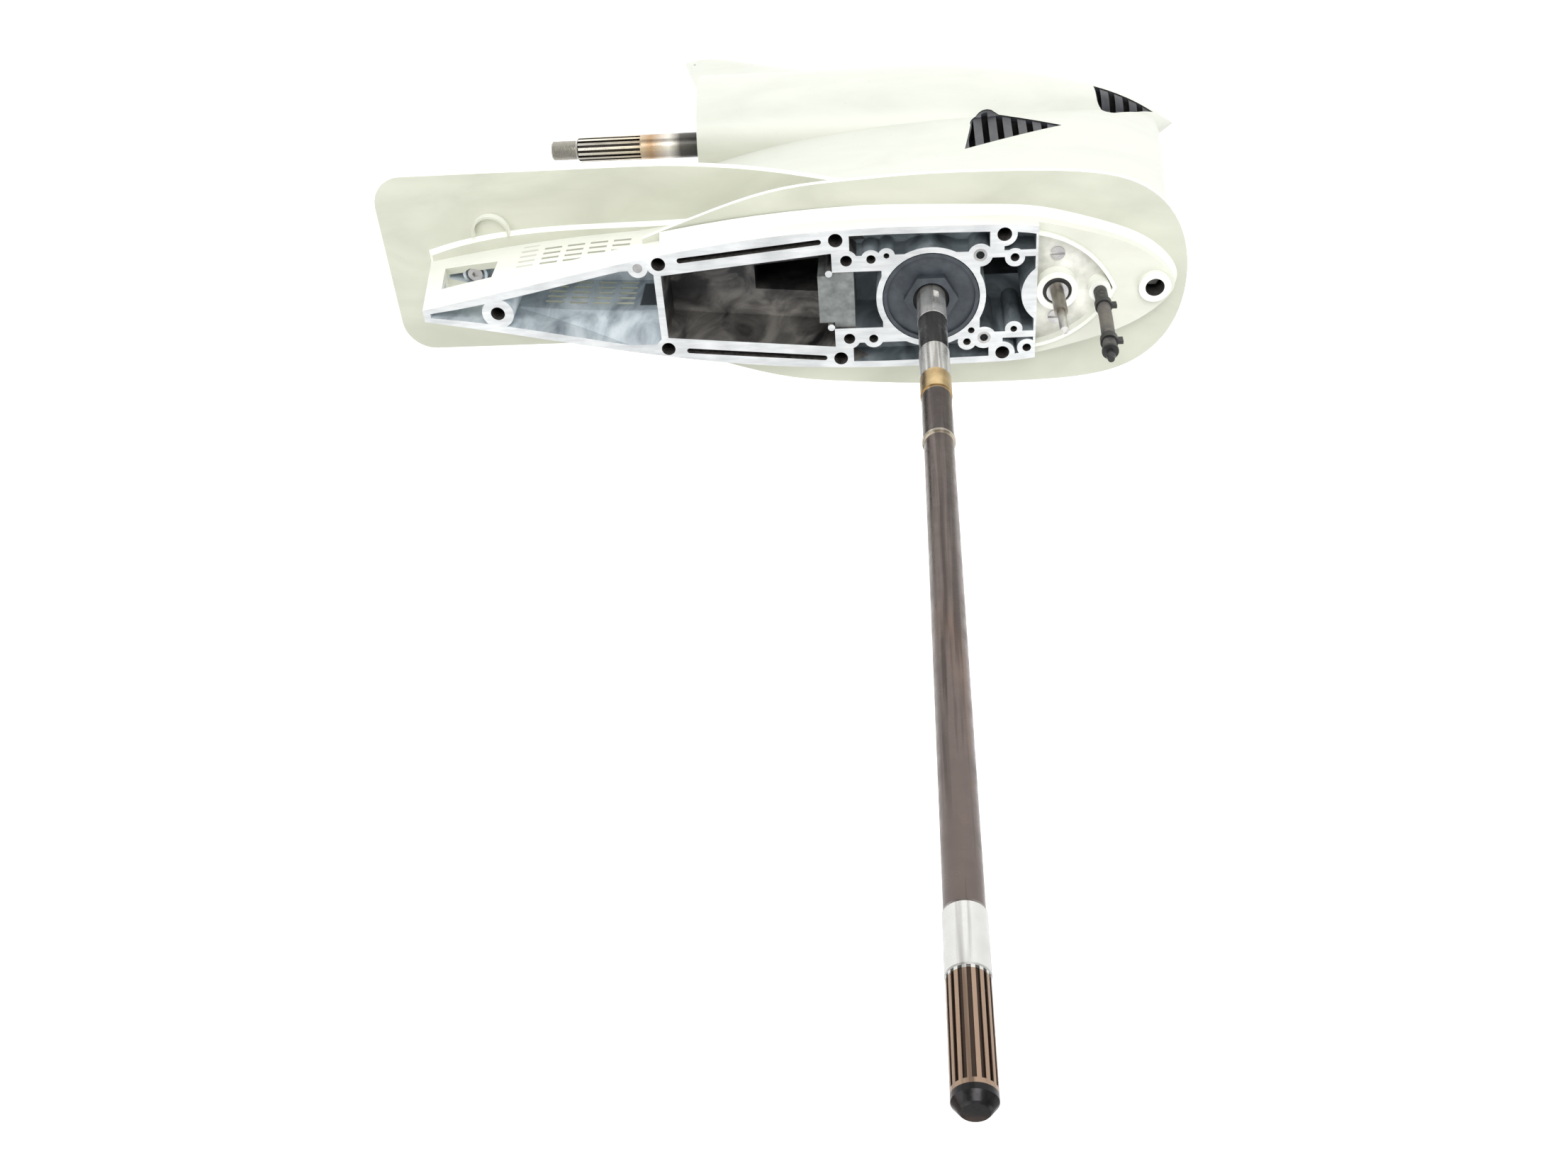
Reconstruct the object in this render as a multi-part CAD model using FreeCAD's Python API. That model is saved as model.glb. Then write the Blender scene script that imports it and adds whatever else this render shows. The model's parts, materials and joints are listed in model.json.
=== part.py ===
import FreeCAD, Part
import math
import os

# Lower unit of a large outboard motor: the gearcase casting with its drive, shift and sealing parts.
# Frame: +X forward, +Y to port, +Z up along the drive shaft. The origin is on the drive shaft's
# axis, in the plane of the machined face that bolts to the midsection above. Millimetres.
# It is shown in forward gear, the pinion driving both gears and the dog locked to the forward one.

V = FreeCAD.Vector
ALONG_X = V(1, 0, 0)
ALONG_Y = V(0, 1, 0)
ALONG_Z = V(0, 0, 1)

# Clearances
RUNNING_FIT = 0.05
GAP = 0.3
ROOT_OVERLAP = 0.6

# Gearcase casting, outside. Distances aft and forward are from the drive shaft's axis.
FLANGE_AFT = 430.0
FLANGE_FORWARD = 200.0
FLANGE_HALF = 64.0
FLANGE_FORM = [(0.0, 0.085), (0.105, 0.29), (0.263, 0.617), (0.433, 0.89), (0.60, 1.0),
               (0.743, 0.985), (0.82, 0.935), (0.865, 0.83), (0.92, 0.66), (0.98, 0.31)]
STERN_LEAST_HALF = 2.0
BLOCK_FRONT = 252.0
BLOCK_STATIONS = [(FLANGE_AFT, 5.0), (353.0, 18.9), (BLOCK_FRONT, 27.0)]
BLOCK_FOOT_AFT = FLANGE_AFT + 15.0
LEG_INSET = 6.0
LEG_TOP_HALF = 50.0
LEG_FOOT_HALF = 42.0
PLATE_TOP = 98.0
PLATE_THICK = 8.0
PLATE_AFT = 485.0
PLATE_HALF = 84.0
PLATE_CORNER = 28.0
PLATE_STRAIGHT_END = 247.0
PLATE_FORM = [(0.0, 1.0), (0.13, 0.965), (0.26, 0.87), (0.38, 0.735), (0.60, 0.53), (0.85, 0.33)]
LEDGE_HEIGHT = 4.0
LEDGE_STATIONS = [(446.0, 15.4), (363.0, 31.3), (255.0, 34.4), (150.0, 40.0)]
SPLASH_TOP = 26.0
SPLASH_THICK = 5.0
SPLASH_AFT = 240.0
SPLASH_FORWARD = 212.0
SPLASH_HALF = 97.0
SPLASH_TILT = 1.0
SPLASH_FORM = [(0.0, 0.5), (0.13, 0.725), (0.26, 0.9), (0.39, 0.965), (0.52, 0.998), (0.64, 1.0),
               (0.77, 0.98), (0.84, 0.94), (0.90, 0.85), (0.945, 0.70), (0.975, 0.51)]
COVE = 8.0
SHAFT_DROP = 350.0
TORPEDO_RADIUS = 66.0
TORPEDO_AFT = 220.0
TORPEDO_NOSE = 248.0
TORPEDO_BARREL_END = 20.0
TORPEDO_TAPER_RADIUS = 700.0
TORPEDO_TAPER_TURN = 15.7
STRUT_TOP_AFT = 222.0
STRUT_FOOT_AFT = TORPEDO_AFT - 4.0
STRUT_TOP_FORWARD = 209.0
STRUT_FOOT_FORWARD = 233.0
STRUT_TOP_HALF = 37.0
STRUT_WAIST_HALF = 31.0
STRUT_WAIST_DROP = SHAFT_DROP - 135.0
STRUT_ROOT_HALF = 42.0
STRUT_EDGE_HALF = 3.0
STRUT_FULLNESS = [(0.30, 1.28), (0.72, 1.28), (1.0, 0.72)]
SKEG_BOTTOM = SHAFT_DROP + 241.0
SKEG_ROOT = (205.0, 125.0, 9.0)
SKEG_WAIST = (241.0, -42.0, 6.5)
SKEG_WAIST_DROP = SHAFT_DROP + 150.0
SKEG_TIP = (264.0, -210.0, 3.0)
SKEG_EYE_RADIUS = 1.6

# Gearcase casting, mating face
WALL = 6.0
FACE_FRONT = 87.0
NOSE_DROP = 8.0
NOSE_RECESS = 14.0
NOSE_ARC_CENTRE = 72.0
NOSE_ARC_SIDE = 33.0
NOSE_ARC_RADIUS = 84.0
NOSE_LIP = 3.0
WEB_AFT = 229.0
WEB_FRONT = 223.0
REAR_HOLE_X = -365.7
REAR_HOLE_RADIUS = 6.0
REAR_BOSS_RADIUS = 13.5
REAR_HOLE_DEPTH = 60.0
REAR_POCKET_DEPTH = 86.0
REAR_CHAMBER_DEPTH = 93.0
REAR_MOUTH_DEPTH = 36.0
REAR_MOUTH_FLARE = 14.0
EXHAUST_DEPTH = 50.0
EXHAUST_AFT_HALF = 29.0
EXHAUST_FRONT_HALF = 43.0
EXHAUST_FRONT = 81.0
PASSAGE_AFT = 150.0
PASSAGE_FRONT = 70.0
PASSAGE_AFT_HALF = 11.0
PASSAGE_FRONT_HALF = 18.0
BOLT_HOLE_RADIUS = 5.9
BOLT_HOLE_DEPTH = 28.0
BOLT_BOSS_WALL = 4.5
BOLT_ROWS = [(-224.0, 39.5), (-77.0, 54.4), (59.6, 54.0)]
TAPPED_HOLES = [(-69.0, 35.9, 4.8), (-69.0, -35.9, 4.8), (-48.6, 36.5, 3.8), (-48.6, -36.5, 3.8),
                (-35.9, 39.1, 2.4), (29.8, -42.6, 3.2), (33.3, -31.9, 2.8), (80.0, -50.0, 3.6),
                (68.3, 33.4, 3.6), (68.7, -32.0, 2.8)]
TAPPED_DEPTH = 22.0
SIDE_SLOT_AFT = (-206.0, 42.0)
SIDE_SLOT_FRONT = (-91.0, 53.4)
SIDE_SLOT_WIDTH = 4.6
SIDE_SLOT_DEPTH = 24.0
DOWEL_PLACES = [(40.3, 36.5), (44.0, -39.1)]
DOWEL_OUTER = 5.6
DOWEL_INNER = 3.4
DOWEL_LENGTH = 12.0
WELL_RADIUS = 40.3
WELL_DEPTH = 20.0
WELL_WALL = 5.0
SIDE_POCKET_AFT = 66.0
SIDE_POCKET_FRONT = 48.0
SIDE_POCKET_INNER = 40.0
SIDE_POCKET_DEPTH = 24.0
FORWARD_CHAMBER_FRONT = 85.0
FORWARD_CHAMBER_HALF = 34.0
FORWARD_CHAMBER_DEPTH = 60.0
SHIFT_BOSS_OUTER = 29.5

# Gearcase casting, side openings. The window's corners are aft of the drive shaft and below the face.
WINDOW_CORNERS = [(420.5, 33.7), (376.0, 37.4), (376.0, 67.0), (426.0, 73.5)]
GRILLE_AFT = 335.0
GRILLE_TOP = 47.2
GRILLE_COLUMNS = 4
GRILLE_ROWS_PORT = 4
GRILLE_ROWS_STARBOARD = 5
GRILLE_PITCH_X = 20.6
GRILLE_PITCH_Z = 9.6
GRILLE_SLOT_LENGTH = 15.5
GRILLE_SLOT_HEIGHT = 3.5
CRESCENT_X = -385.0
CRESCENT_Y = 30.0
CRESCENT_RADIUS = 17.0
CRESCENT_RIM = 2.0
CRESCENT_HEIGHT = 7.0

# Water intakes, as outlines seen from the side: forward of the drive shaft and above the torpedo's axis
SIDE_INTAKE_AFT_TOP = (37.6, 118.6)
SIDE_INTAKE_AFT_FOOT = (45.0, 68.0)
SIDE_INTAKE_CORNER = (52.0, 50.0)
SIDE_INTAKE_FOOT = (66.0, 46.0)
SIDE_INTAKE_POINT = (131.6, 67.0)
SIDE_INTAKE_FLOOR = 14.0
NOSE_INTAKE_FOOT = (168.0, -2.0)
NOSE_INTAKE_TOP = (169.5, 20.0)
NOSE_INTAKE_CORNER = (174.0, 28.0)
NOSE_INTAKE_SHOULDER = (186.0, 29.5)
NOSE_INTAKE_POINT = (227.0, 5.0)
NOSE_INTAKE_FLOOR = 5.0
SCREEN_INSET = 1.0
SCREEN_THICK = 3.0
SCREEN_BAR_PITCH = 14.0
SCREEN_SLOT = 6.0
SCREEN_FRAME = 5.0
WATER_DUCT_AFT = 44.0
WATER_DUCT_FRONT = 84.0
WATER_DUCT_HALF = 11.0
WATER_DUCT_TOP = 55.0
WATER_DUCT_BOTTOM = SHAFT_DROP - 58.0

# Torpedo bores, by distance forward of the drive shaft's axis
CARRIER_BORE = 50.0
NUT_BORE = 51.5
NUT_LENGTH = 12.0
GEAR_CHAMBER_RADIUS = 49.0
GEAR_CHAMBER_AFT = 30.0
GEAR_CHAMBER_FORWARD = 34.0

# Drive shaft, by height above the mating face
SHAFT_RADIUS = 12.0
JOURNAL_TOP = 45.0
BAND_RADIUS = 11.6
BAND_TOP = 93.0
UPPER_JOURNAL_TOP = 135.0
COLLAR_TOP = 159.0
COLLAR_GROOVE_RADIUS = 11.2
NECK_RADIUS = 11.3
RING_BOTTOM = 219.0
RING_TOP = 223.0
TUBE_RADIUS = 10.75
HEAD_RADIUS = 11.5
SPLINE_RADIUS = 11.1
SPLINE_TOP = 757.0
SPLINE_BOTTOM = SPLINE_TOP - 62.0
TUBE_TOP = SPLINE_BOTTOM - 39.0
SHAFT_TOP = SPLINE_TOP + 11.0
TIP_RADIUS = 8.0
DRIVE_SPLINES = 16
SPLINE_GROOVE_WIDTH = 2.2
SPLINE_GROOVE_DEPTH = 1.3
KEYWAY_BOTTOM = 10.0
KEYWAY_TOP = 30.0
KEYWAY_WIDTH = 5.0
KEYWAY_DEPTH = 2.6
KEYWAY_ANGLE = 72.0
PINION_SEAT_RADIUS = 10.0
PINION_THREAD_RADIUS = 7.0

# Drive shaft bearings and seals, by depth below the mating face
SEAL_CARRIER_RADIUS = 39.5
SEAL_CARRIER_DEPTH = 8.0
SEAL_CARRIER_RIM = 3.0
SEAL_CARRIER_DISH = 3.0
SEAL_HUB_FLATS = 39.0
SEAL_HUB_HEIGHT = 4.0
SEAL_HUB_BORE = 15.0
SHAFT_SEAL_THICK = 7.0
UPPER_BEARING_TOP = 70.0
UPPER_BEARING_WIDTH = 23.0
UPPER_BEARING_OUTER = 30.0
BEARING_SLOPE = 12.0
LOCK_NUT_THICK = 8.0
LOCK_NUT_BORE = 17.0
SHAFT_BORE = 22.0
PINION_BEARING_TOP = SHAFT_DROP - 88.0
PINION_BEARING_BOTTOM = SHAFT_DROP - 64.0
PINION_BEARING_OUTER = 19.0

# Bevel gears. Each pitch cone has its point where the drive and propeller shafts' axes meet.
PINION_TEETH = 14
GEAR_TEETH = 25
GEAR_PITCH_RADIUS = 44.0
GEAR_FACE = 14.0
TOOTH_ADDENDUM = 2.9
TOOTH_DEDENDUM = 3.9
TOOTH_TIP_SHARE = 0.24
TOOTH_ROOT_SHARE = 0.66
GEAR_INNER_FACE = 15.0
GEAR_BACK = 33.0
GEAR_HUB_RADIUS = 24.0
GEAR_HUB_END = 52.0
GEAR_BEARING_START = 34.0
GEAR_BEARING_WIDTH = 17.0
GEAR_BEARING_OUTER = 40.0
BUSH_OUTER = 15.5
PINION_BACK = SHAFT_DROP - 58.0
PINION_HUB_RADIUS = 17.0
PINION_NUT_FLATS = 22.0
PINION_NUT_THICK = 7.5

# Clutch dog and shift linkage
DOG_RADIUS = 20.5
DOG_HALF_LENGTH = 5.3
DOG_TRAVEL = 5.0
LUG_HEIGHT = 4.5
LUG_COUNT = 6
LUG_ANGLE = 24.0
LUG_INNER = 16.5
CROSS_PIN_RADIUS = 3.0
SPRING_THICK = 1.2
SPRING_WIDTH = 4.0
PLUNGER_RADIUS = 5.7
PLUNGER_NECK_RADIUS = 3.0
PLUNGER_HEAD_RADIUS = 5.5
PLUNGER_SHOULDER = 62.0
PLUNGER_NECK_LENGTH = 7.0
PLUNGER_HEAD_LENGTH = 4.0
SHIFT_X = 103.8
SHIFT_RADIUS = 5.5
SHIFT_TOP = 63.7
SHIFT_STEP = 33.0
SHIFT_TIP_RADIUS = 3.5
SHIFT_OIL_BORE = 8.0
SHIFT_GUIDE_TOP = SHAFT_DROP - 60.0
CAM_RADIUS = 14.0
CAM_TOP = SHAFT_DROP - 20.0
CAM_THICK = 6.2
CAM_ARM = 10.0
CAM_PIN_RADIUS = 3.0
CAM_PIN_LENGTH = 9.3
FOLLOWER_RADIUS = 13.5
FOLLOWER_FORWARD = 119.0
FOLLOWER_BORE_FORWARD = 124.0
SHIFT_SEAL_RADIUS = 12.0
SHIFT_BUSH_RADIUS = 9.0
SHIFT_BUSH_TOP = 1.0
SHIFT_BUSH_BOTTOM = 20.0
SHIFT_COLLAR_RADIUS = 17.0
SHIFT_COLLAR_TOP = 3.0

# Propeller shaft and its carrier, by distance aft of the drive shaft's axis
PROP_SHAFT_RADIUS = 12.5
PROP_SHAFT_FORWARD = 58.0
PROP_ROOT_RADIUS = 12.3
PROP_ROOT_START = 214.0
PROP_SPLINE_RADIUS = 12.1
PROP_SPLINE_START = 285.0
PROP_SPLINE_END = 351.0
PROP_TIP = 377.0
PROP_THREAD_RADIUS = 9.5
PROP_SPLINES = 15
PROP_GROOVE_WIDTH = 2.6
PROP_GROOVE_DEPTH = 1.5
CARRIER_HEAD_AFT = 60.0
CARRIER_TUBE_OUTER = 21.0
CARRIER_TUBE_INNER = 14.0
CARRIER_RIM_FRONT = 193.0
CARRIER_RIM_INNER = 43.0
CARRIER_SPOKES = 4
CARRIER_SPOKE_THICK = 7.0
NEEDLE_OUTER = 16.5
NEEDLE_LENGTH = 20.0
FRONT_NEEDLE_START = 70.0
REAR_NEEDLE_START = 172.0
PROP_SEAL_START = 194.0
PROP_SEAL_LENGTH = 12.0

# Small fittings
HOSE_X = 138.4
HOSE_BOSS_RADIUS = 9.0
HOSE_RADIUS = 5.5
HOSE_ROUTE = [(138.4, 0.0, 0.0), (138.4, 0.0, 34.0), (137.2, -0.5, 68.0), (135.4, 0.3, 98.0)]
TIE_HEIGHTS = (21.0, 79.0)
TIE_THICK = 1.4
TIE_WIDTH = 7.0
TIE_EAR = 5.0
NIPPLE_RADIUS = 2.6
NIPPLE_LENGTH = 15.0
DIVIDER_AFT = 93.5
DIVIDER_STEP = 80.8
DIVIDER_FRONT = 63.5
DIVIDER_AFT_HALF = 21.5
DIVIDER_FRONT_HALF = 26.0
DIVIDER_TOP = 3.0
DIVIDER_HEIGHT = 42.0
HOOK_RADIUS = 3.0
NOSE_PLUG_PLACES = [(104.0, 29.0), (104.0, -29.0)]
NOSE_PLUG_RADIUS = 6.0
NOSE_PLUG_DEPTH = 10.0
FRONT_HOLE_X = 183.3
FRONT_HOLE_RADIUS = 7.8
FRONT_HOLE_DEPTH = 26.0
FRONT_BOSS_RADIUS = 13.0
FRONT_BOSS_TOP = 3.0
FRONT_BOLT_FLATS = 11.0
FRONT_BOLT_HEAD = 6.0
FRONT_BOLT_SHANK = 4.0
FRONT_BOLT_LENGTH = 22.0
FACE_SCREW_X = -241.6
FACE_SCREW_Y = 36.6
FACE_SCREW_RADIUS = 4.0
FACE_SCREW_LENGTH = 12.0
TAB_X = -401.0
TAB_BOSS_RADIUS = 11.0
TAB_BOSS_HEIGHT = 10.0
TAB_BOLT_RADIUS = 4.0
TAB_BOLT_HEAD_RADIUS = 6.5
TAB_COUNTERBORE = 8.6
TAB_BOLT_HEAD = 6.0
TAB_BOLT_SOCKET = 5.0
TAB_AFT = 448.0
TAB_FRONT = 368.0
TAB_HALF = 7.0
TAB_BASE_RADIUS = 26.0
TAB_BASE_THICK = 7.0
TAB_DROP = 52.0
PLUG_RADIUS = 7.0
PLUG_HEAD_SLOT = 2.0
DRAIN_ANGLE = 30.0
DRAIN_X = 8.0
VENT_X = 8.0
VENT_DROP = SHAFT_DROP - 200.0

# Sizes worked out from the ones above
PINION_PITCH_RADIUS = GEAR_PITCH_RADIUS * PINION_TEETH / GEAR_TEETH
PROP_AXIS = V(0, 0, -SHAFT_DROP)
SPLASH_UNDER = SPLASH_TOP + SPLASH_THICK
PLATE_UNDER = PLATE_TOP + PLATE_THICK
CAM_HALF_SWING = math.degrees(math.asin(DOG_TRAVEL / 2 / CAM_ARM))
FOLLOWER_AFT = PLUNGER_SHOULDER + 2.5
FAR = 1000.0


# Plain shapes

def box(x0, x1, y0, y1, z0, z1):
    return Part.makeBox(x1 - x0, y1 - y0, z1 - z0, V(x0, y0, z0))


def post(x, y, radius, z0, z1):
    return Part.makeCylinder(radius, z1 - z0, V(x, y, z0))


def rod(radius, x0, x1):
    """A cylinder round the propeller shaft's axis."""
    return Part.makeCylinder(radius, x1 - x0, V(x0, 0, -SHAFT_DROP), ALONG_X)


def ring(outer, inner, x0, x1):
    return rod(outer, x0, x1).cut(rod(inner, x0, x1))


def collar(x, y, outer, inner, z0, z1):
    return post(x, y, outer, z0, z1).cut(post(x, y, inner, z0, z1))


def polygon(points):
    return Part.makePolygon([V(*p) for p in points] + [V(*points[0])])


def prism(wire, direction):
    return Part.Face(wire).extrude(direction)


def hexagon(x, y, flats, z0, z1):
    corner = flats / 2 / math.cos(math.radians(30))
    points = []
    for turn in range(6):
        angle = math.radians(60 * turn)
        points.append((x + corner * math.cos(angle), y + corner * math.sin(angle), z0))
    return prism(polygon(points), V(0, 0, z1 - z0))


def turned(profile):
    """A solid turned about Z from its half section, given as (radius, height) corners."""
    return prism_turn(polygon([(r, 0, z) for r, z in profile]))


def prism_turn(wire):
    return Part.Face(wire).revolve(V(0, 0, 0), ALONG_Z, 360)


def laid_forward(shape):
    """Turns a shape built up +Z to lie along +X on the propeller shaft's axis."""
    copy = shape.copy()
    copy.rotate(V(0, 0, 0), ALONG_Y, 90)
    copy.translate(PROP_AXIS)
    return copy


def laid_aft(shape):
    copy = shape.copy()
    copy.rotate(V(0, 0, 0), ALONG_Y, -90)
    copy.translate(PROP_AXIS)
    return copy


# Outlines of the casting, the same to port and starboard

def hull_edges(aft, forward, half, form, z, grow=0.0):
    """A smooth side from stern to nose and back, and the flat end that closes it."""
    length = aft + forward + 2 * grow
    port = [(-aft - grow + length * f, max(half * b + grow, STERN_LEAST_HALF)) for f, b in form]
    starboard = [(x, -y) for x, y in reversed(port)]
    side = Part.BSplineCurve()
    side.interpolate([V(x, y, z) for x, y in port + [(forward + grow, 0.0)] + starboard])
    end = Part.LineSegment(V(*starboard[-1], z), V(*port[0], z))
    return [side.toShape(), end.toShape()]


def hull_wire(aft, forward, half, form, z, grow=0.0):
    return Part.Wire(hull_edges(aft, forward, half, form, z, grow))


def flange_wire(z, grow=0.0):
    return hull_wire(FLANGE_AFT, FLANGE_FORWARD, FLANGE_HALF, FLANGE_FORM, z, grow)


def side_wire(stations, z, grow=0.0):
    """Both sides through (aft, half width) stations, closed straight across the stern and the front."""
    port = [V(-aft, max(half + grow, STERN_LEAST_HALF), z) for aft, half in stations]
    port[0].x -= grow
    starboard = [V(p.x, -p.y, z) for p in reversed(port)]
    edges = []
    for points, other in ((port, starboard), (starboard, port)):
        side = Part.BSplineCurve()
        side.interpolate(points)
        edges += [side.toShape(), Part.LineSegment(points[-1], other[0]).toShape()]
    return Part.Wire(edges)


def plate_wire(z):
    """Anti-ventilation plate: square stern with round corners, straight sides, tapering nose."""
    stern = -PLATE_AFT
    turn = PLATE_CORNER
    inner = PLATE_CORNER * (1 - math.cos(math.radians(45)))
    length = PLATE_STRAIGHT_END + STRUT_TOP_FORWARD
    edges = []
    side = [(-PLATE_STRAIGHT_END + length * f, PLATE_HALF * b) for f, b in PLATE_FORM]
    points = side + [(STRUT_TOP_FORWARD, 0.0)] + [(x, -y) for x, y in reversed(side)]
    curve = Part.BSplineCurve()
    curve.interpolate(Points=[V(x, y, z) for x, y in points],
                      InitialTangent=V(1, 0, 0), FinalTangent=V(-1, 0, 0))
    edges.append(curve.toShape())
    for hand in (-1, 1):
        edges.append(Part.LineSegment(V(-PLATE_STRAIGHT_END, hand * PLATE_HALF, z),
                                      V(stern + turn, hand * PLATE_HALF, z)).toShape())
        edges.append(Part.Arc(V(stern + turn, hand * PLATE_HALF, z),
                              V(stern + inner, hand * (PLATE_HALF - inner), z),
                              V(stern, hand * (PLATE_HALF - turn), z)).toShape())
    edges.append(Part.LineSegment(V(stern, PLATE_HALF - turn, z), V(stern, turn - PLATE_HALF, z)).toShape())
    return Part.Wire(Part.__sortEdges__(edges))


def lens_wire(aft, forward, half, z):
    """Two shallow arcs that meet at the leading and trailing edges."""
    middle = (forward - aft) / 2
    port = Part.Arc(V(-aft, 0, z), V(middle, half, z), V(forward, 0, z))
    starboard = Part.Arc(V(forward, 0, z), V(middle, -half, z), V(-aft, 0, z))
    return Part.Wire([port.toShape(), starboard.toShape()])


def torpedo():
    """A straight barrel, a long shallow taper and a rounded nose, turned about the propeller shaft's axis."""
    shoulder = V(-TORPEDO_BARREL_END, 0, TORPEDO_RADIUS)
    taper_centre = shoulder - V(0, 0, TORPEDO_TAPER_RADIUS)

    def taper(share):
        turn = math.radians(TORPEDO_TAPER_TURN * share)
        return taper_centre + V(math.sin(turn), 0, math.cos(turn)) * TORPEDO_TAPER_RADIUS
    cheek = taper(1)
    outward = (cheek - taper_centre).normalize()
    nose = V(TORPEDO_NOSE, 0, 0)
    chord = nose - cheek
    radius = -chord.dot(chord) / (2 * outward.dot(chord))
    nose_centre = cheek - outward * radius
    brow = nose_centre + (outward + (nose - nose_centre).normalize()).normalize() * radius
    stern = V(-TORPEDO_AFT, 0, TORPEDO_RADIUS)
    middle = V(-TORPEDO_AFT, 0, 0)
    edges = [Part.LineSegment(middle, stern).toShape(), Part.LineSegment(stern, shoulder).toShape(),
             Part.Arc(shoulder, taper(0.5), cheek).toShape(), Part.Arc(cheek, brow, nose).toShape(),
             Part.LineSegment(nose, middle).toShape()]
    body = Part.Face(Part.Wire(edges)).revolve(V(0, 0, 0), ALONG_X, 360)
    body.translate(PROP_AXIS)
    return body


def foil_wire(aft, forward, half, z):
    """A strut section: a blunt leading edge, full sides and a thin flat trailing edge."""
    length = aft + forward
    edges = []
    for hand in (1, -1):
        poles = [V(-aft, hand * STRUT_EDGE_HALF, z)]
        poles += [V(-aft + length * along, hand * half * out, z) for along, out in STRUT_FULLNESS]
        poles.append(V(forward, 0, z))
        curve = Part.BezierCurve()
        curve.setPoles(poles if hand > 0 else poles[::-1])
        edges.append(curve.toShape())
    edges.append(Part.LineSegment(V(-aft, -STRUT_EDGE_HALF, z), V(-aft, STRUT_EDGE_HALF, z)).toShape())
    return Part.Wire(edges)


def strut():
    sections = []
    middle = (STRUT_TOP_FORWARD + STRUT_FOOT_FORWARD) / 2
    for aft, forward, half, drop in ((STRUT_TOP_AFT, STRUT_TOP_FORWARD, STRUT_TOP_HALF, PLATE_UNDER - 1),
                                     (STRUT_FOOT_AFT, middle, STRUT_WAIST_HALF, STRUT_WAIST_DROP),
                                     (STRUT_FOOT_AFT, STRUT_FOOT_FORWARD, STRUT_ROOT_HALF, SHAFT_DROP)):
        sections.append(foil_wire(aft, forward, half, -drop))
    return Part.makeLoft(sections, True)


def skeg():
    root = SHAFT_DROP + TORPEDO_RADIUS - 3 * WALL
    sections = [lens_wire(*SKEG_ROOT, -root), lens_wire(*SKEG_WAIST, -SKEG_WAIST_DROP),
                lens_wire(*SKEG_TIP, -SKEG_BOTTOM)]
    fin = Part.makeLoft(sections, True)
    eye = Part.makeCylinder(SKEG_EYE_RADIUS, FAR, V(-SKEG_TIP[0] + 12, -FAR / 2, -SKEG_BOTTOM + 12), ALONG_Y)
    return fin.cut(eye)


def casting_outside():
    flange = prism(flange_wire(0), V(0, 0, -SPLASH_UNDER))
    foot_stations = [(BLOCK_FOOT_AFT, BLOCK_STATIONS[0][1])] + BLOCK_STATIONS[1:]
    foot = side_wire(foot_stations, -PLATE_TOP - 1)
    block = Part.makeLoft([side_wire(BLOCK_STATIONS, 0), foot], True, True)
    leg_top = hull_wire(FLANGE_AFT - LEG_INSET, FLANGE_FORWARD - LEG_INSET, LEG_TOP_HALF, FLANGE_FORM,
                        -SPLASH_TOP)
    leg_foot = hull_wire(FLANGE_AFT - LEG_INSET, FLANGE_FORWARD, LEG_FOOT_HALF, FLANGE_FORM, -PLATE_TOP - 1)
    leg = Part.makeLoft([leg_top, leg_foot], True, True)
    leg = leg.common(box(-BLOCK_FRONT, FAR, -FAR, FAR, -FAR, FAR))
    splash = prism(hull_wire(SPLASH_AFT, SPLASH_FORWARD, SPLASH_HALF, SPLASH_FORM, -SPLASH_TOP),
                   V(0, 0, -SPLASH_THICK))
    splash.rotate(V(0, 0, -SPLASH_TOP), ALONG_Y, -SPLASH_TILT)
    cove = Part.makeLoft([flange_wire(-SPLASH_TOP + COVE, -RUNNING_FIT),
                          flange_wire(-SPLASH_TOP - 1, COVE)], True, True)
    cove = cove.common(box(-SPLASH_AFT + 2 * COVE, FAR, -FAR, FAR, -FAR, FAR))
    plate = prism(plate_wire(-PLATE_TOP), V(0, 0, -PLATE_THICK))
    ledge = Part.makeLoft([side_wire(LEDGE_STATIONS, -PLATE_TOP + LEDGE_HEIGHT, -LEDGE_HEIGHT),
                           side_wire(LEDGE_STATIONS, -PLATE_TOP - 1)], True, True)
    return flange.fuse([block, leg, splash, cove, plate, ledge, strut(), torpedo(), skeg()])


# Casting, cavities

def bosses():
    """Every post that stands in a cavity of the mating face to carry a hole."""
    depth = -REAR_CHAMBER_DEPTH
    found = [post(REAR_HOLE_X, 0, REAR_BOSS_RADIUS, depth, 0)]
    for x, y in BOLT_ROWS:
        for hand in (-1, 1):
            found.append(post(x, hand * y, BOLT_HOLE_RADIUS + BOLT_BOSS_WALL, depth, 0))
    for x, y, radius in TAPPED_HOLES:
        found.append(post(x, y, radius + BOLT_BOSS_WALL, depth, 0))
    for x, y in DOWEL_PLACES:
        found.append(post(x, y, DOWEL_OUTER + BOLT_BOSS_WALL, depth, 0))
    found.append(post(FACE_SCREW_X, FACE_SCREW_Y, FACE_SCREW_RADIUS + BOLT_BOSS_WALL, depth, 0))
    found.append(post(0, 0, WELL_RADIUS + WELL_WALL, depth, 0))
    found.append(post(SHIFT_X, 0, SHIFT_BOSS_OUTER, depth, 0))
    return found


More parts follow.
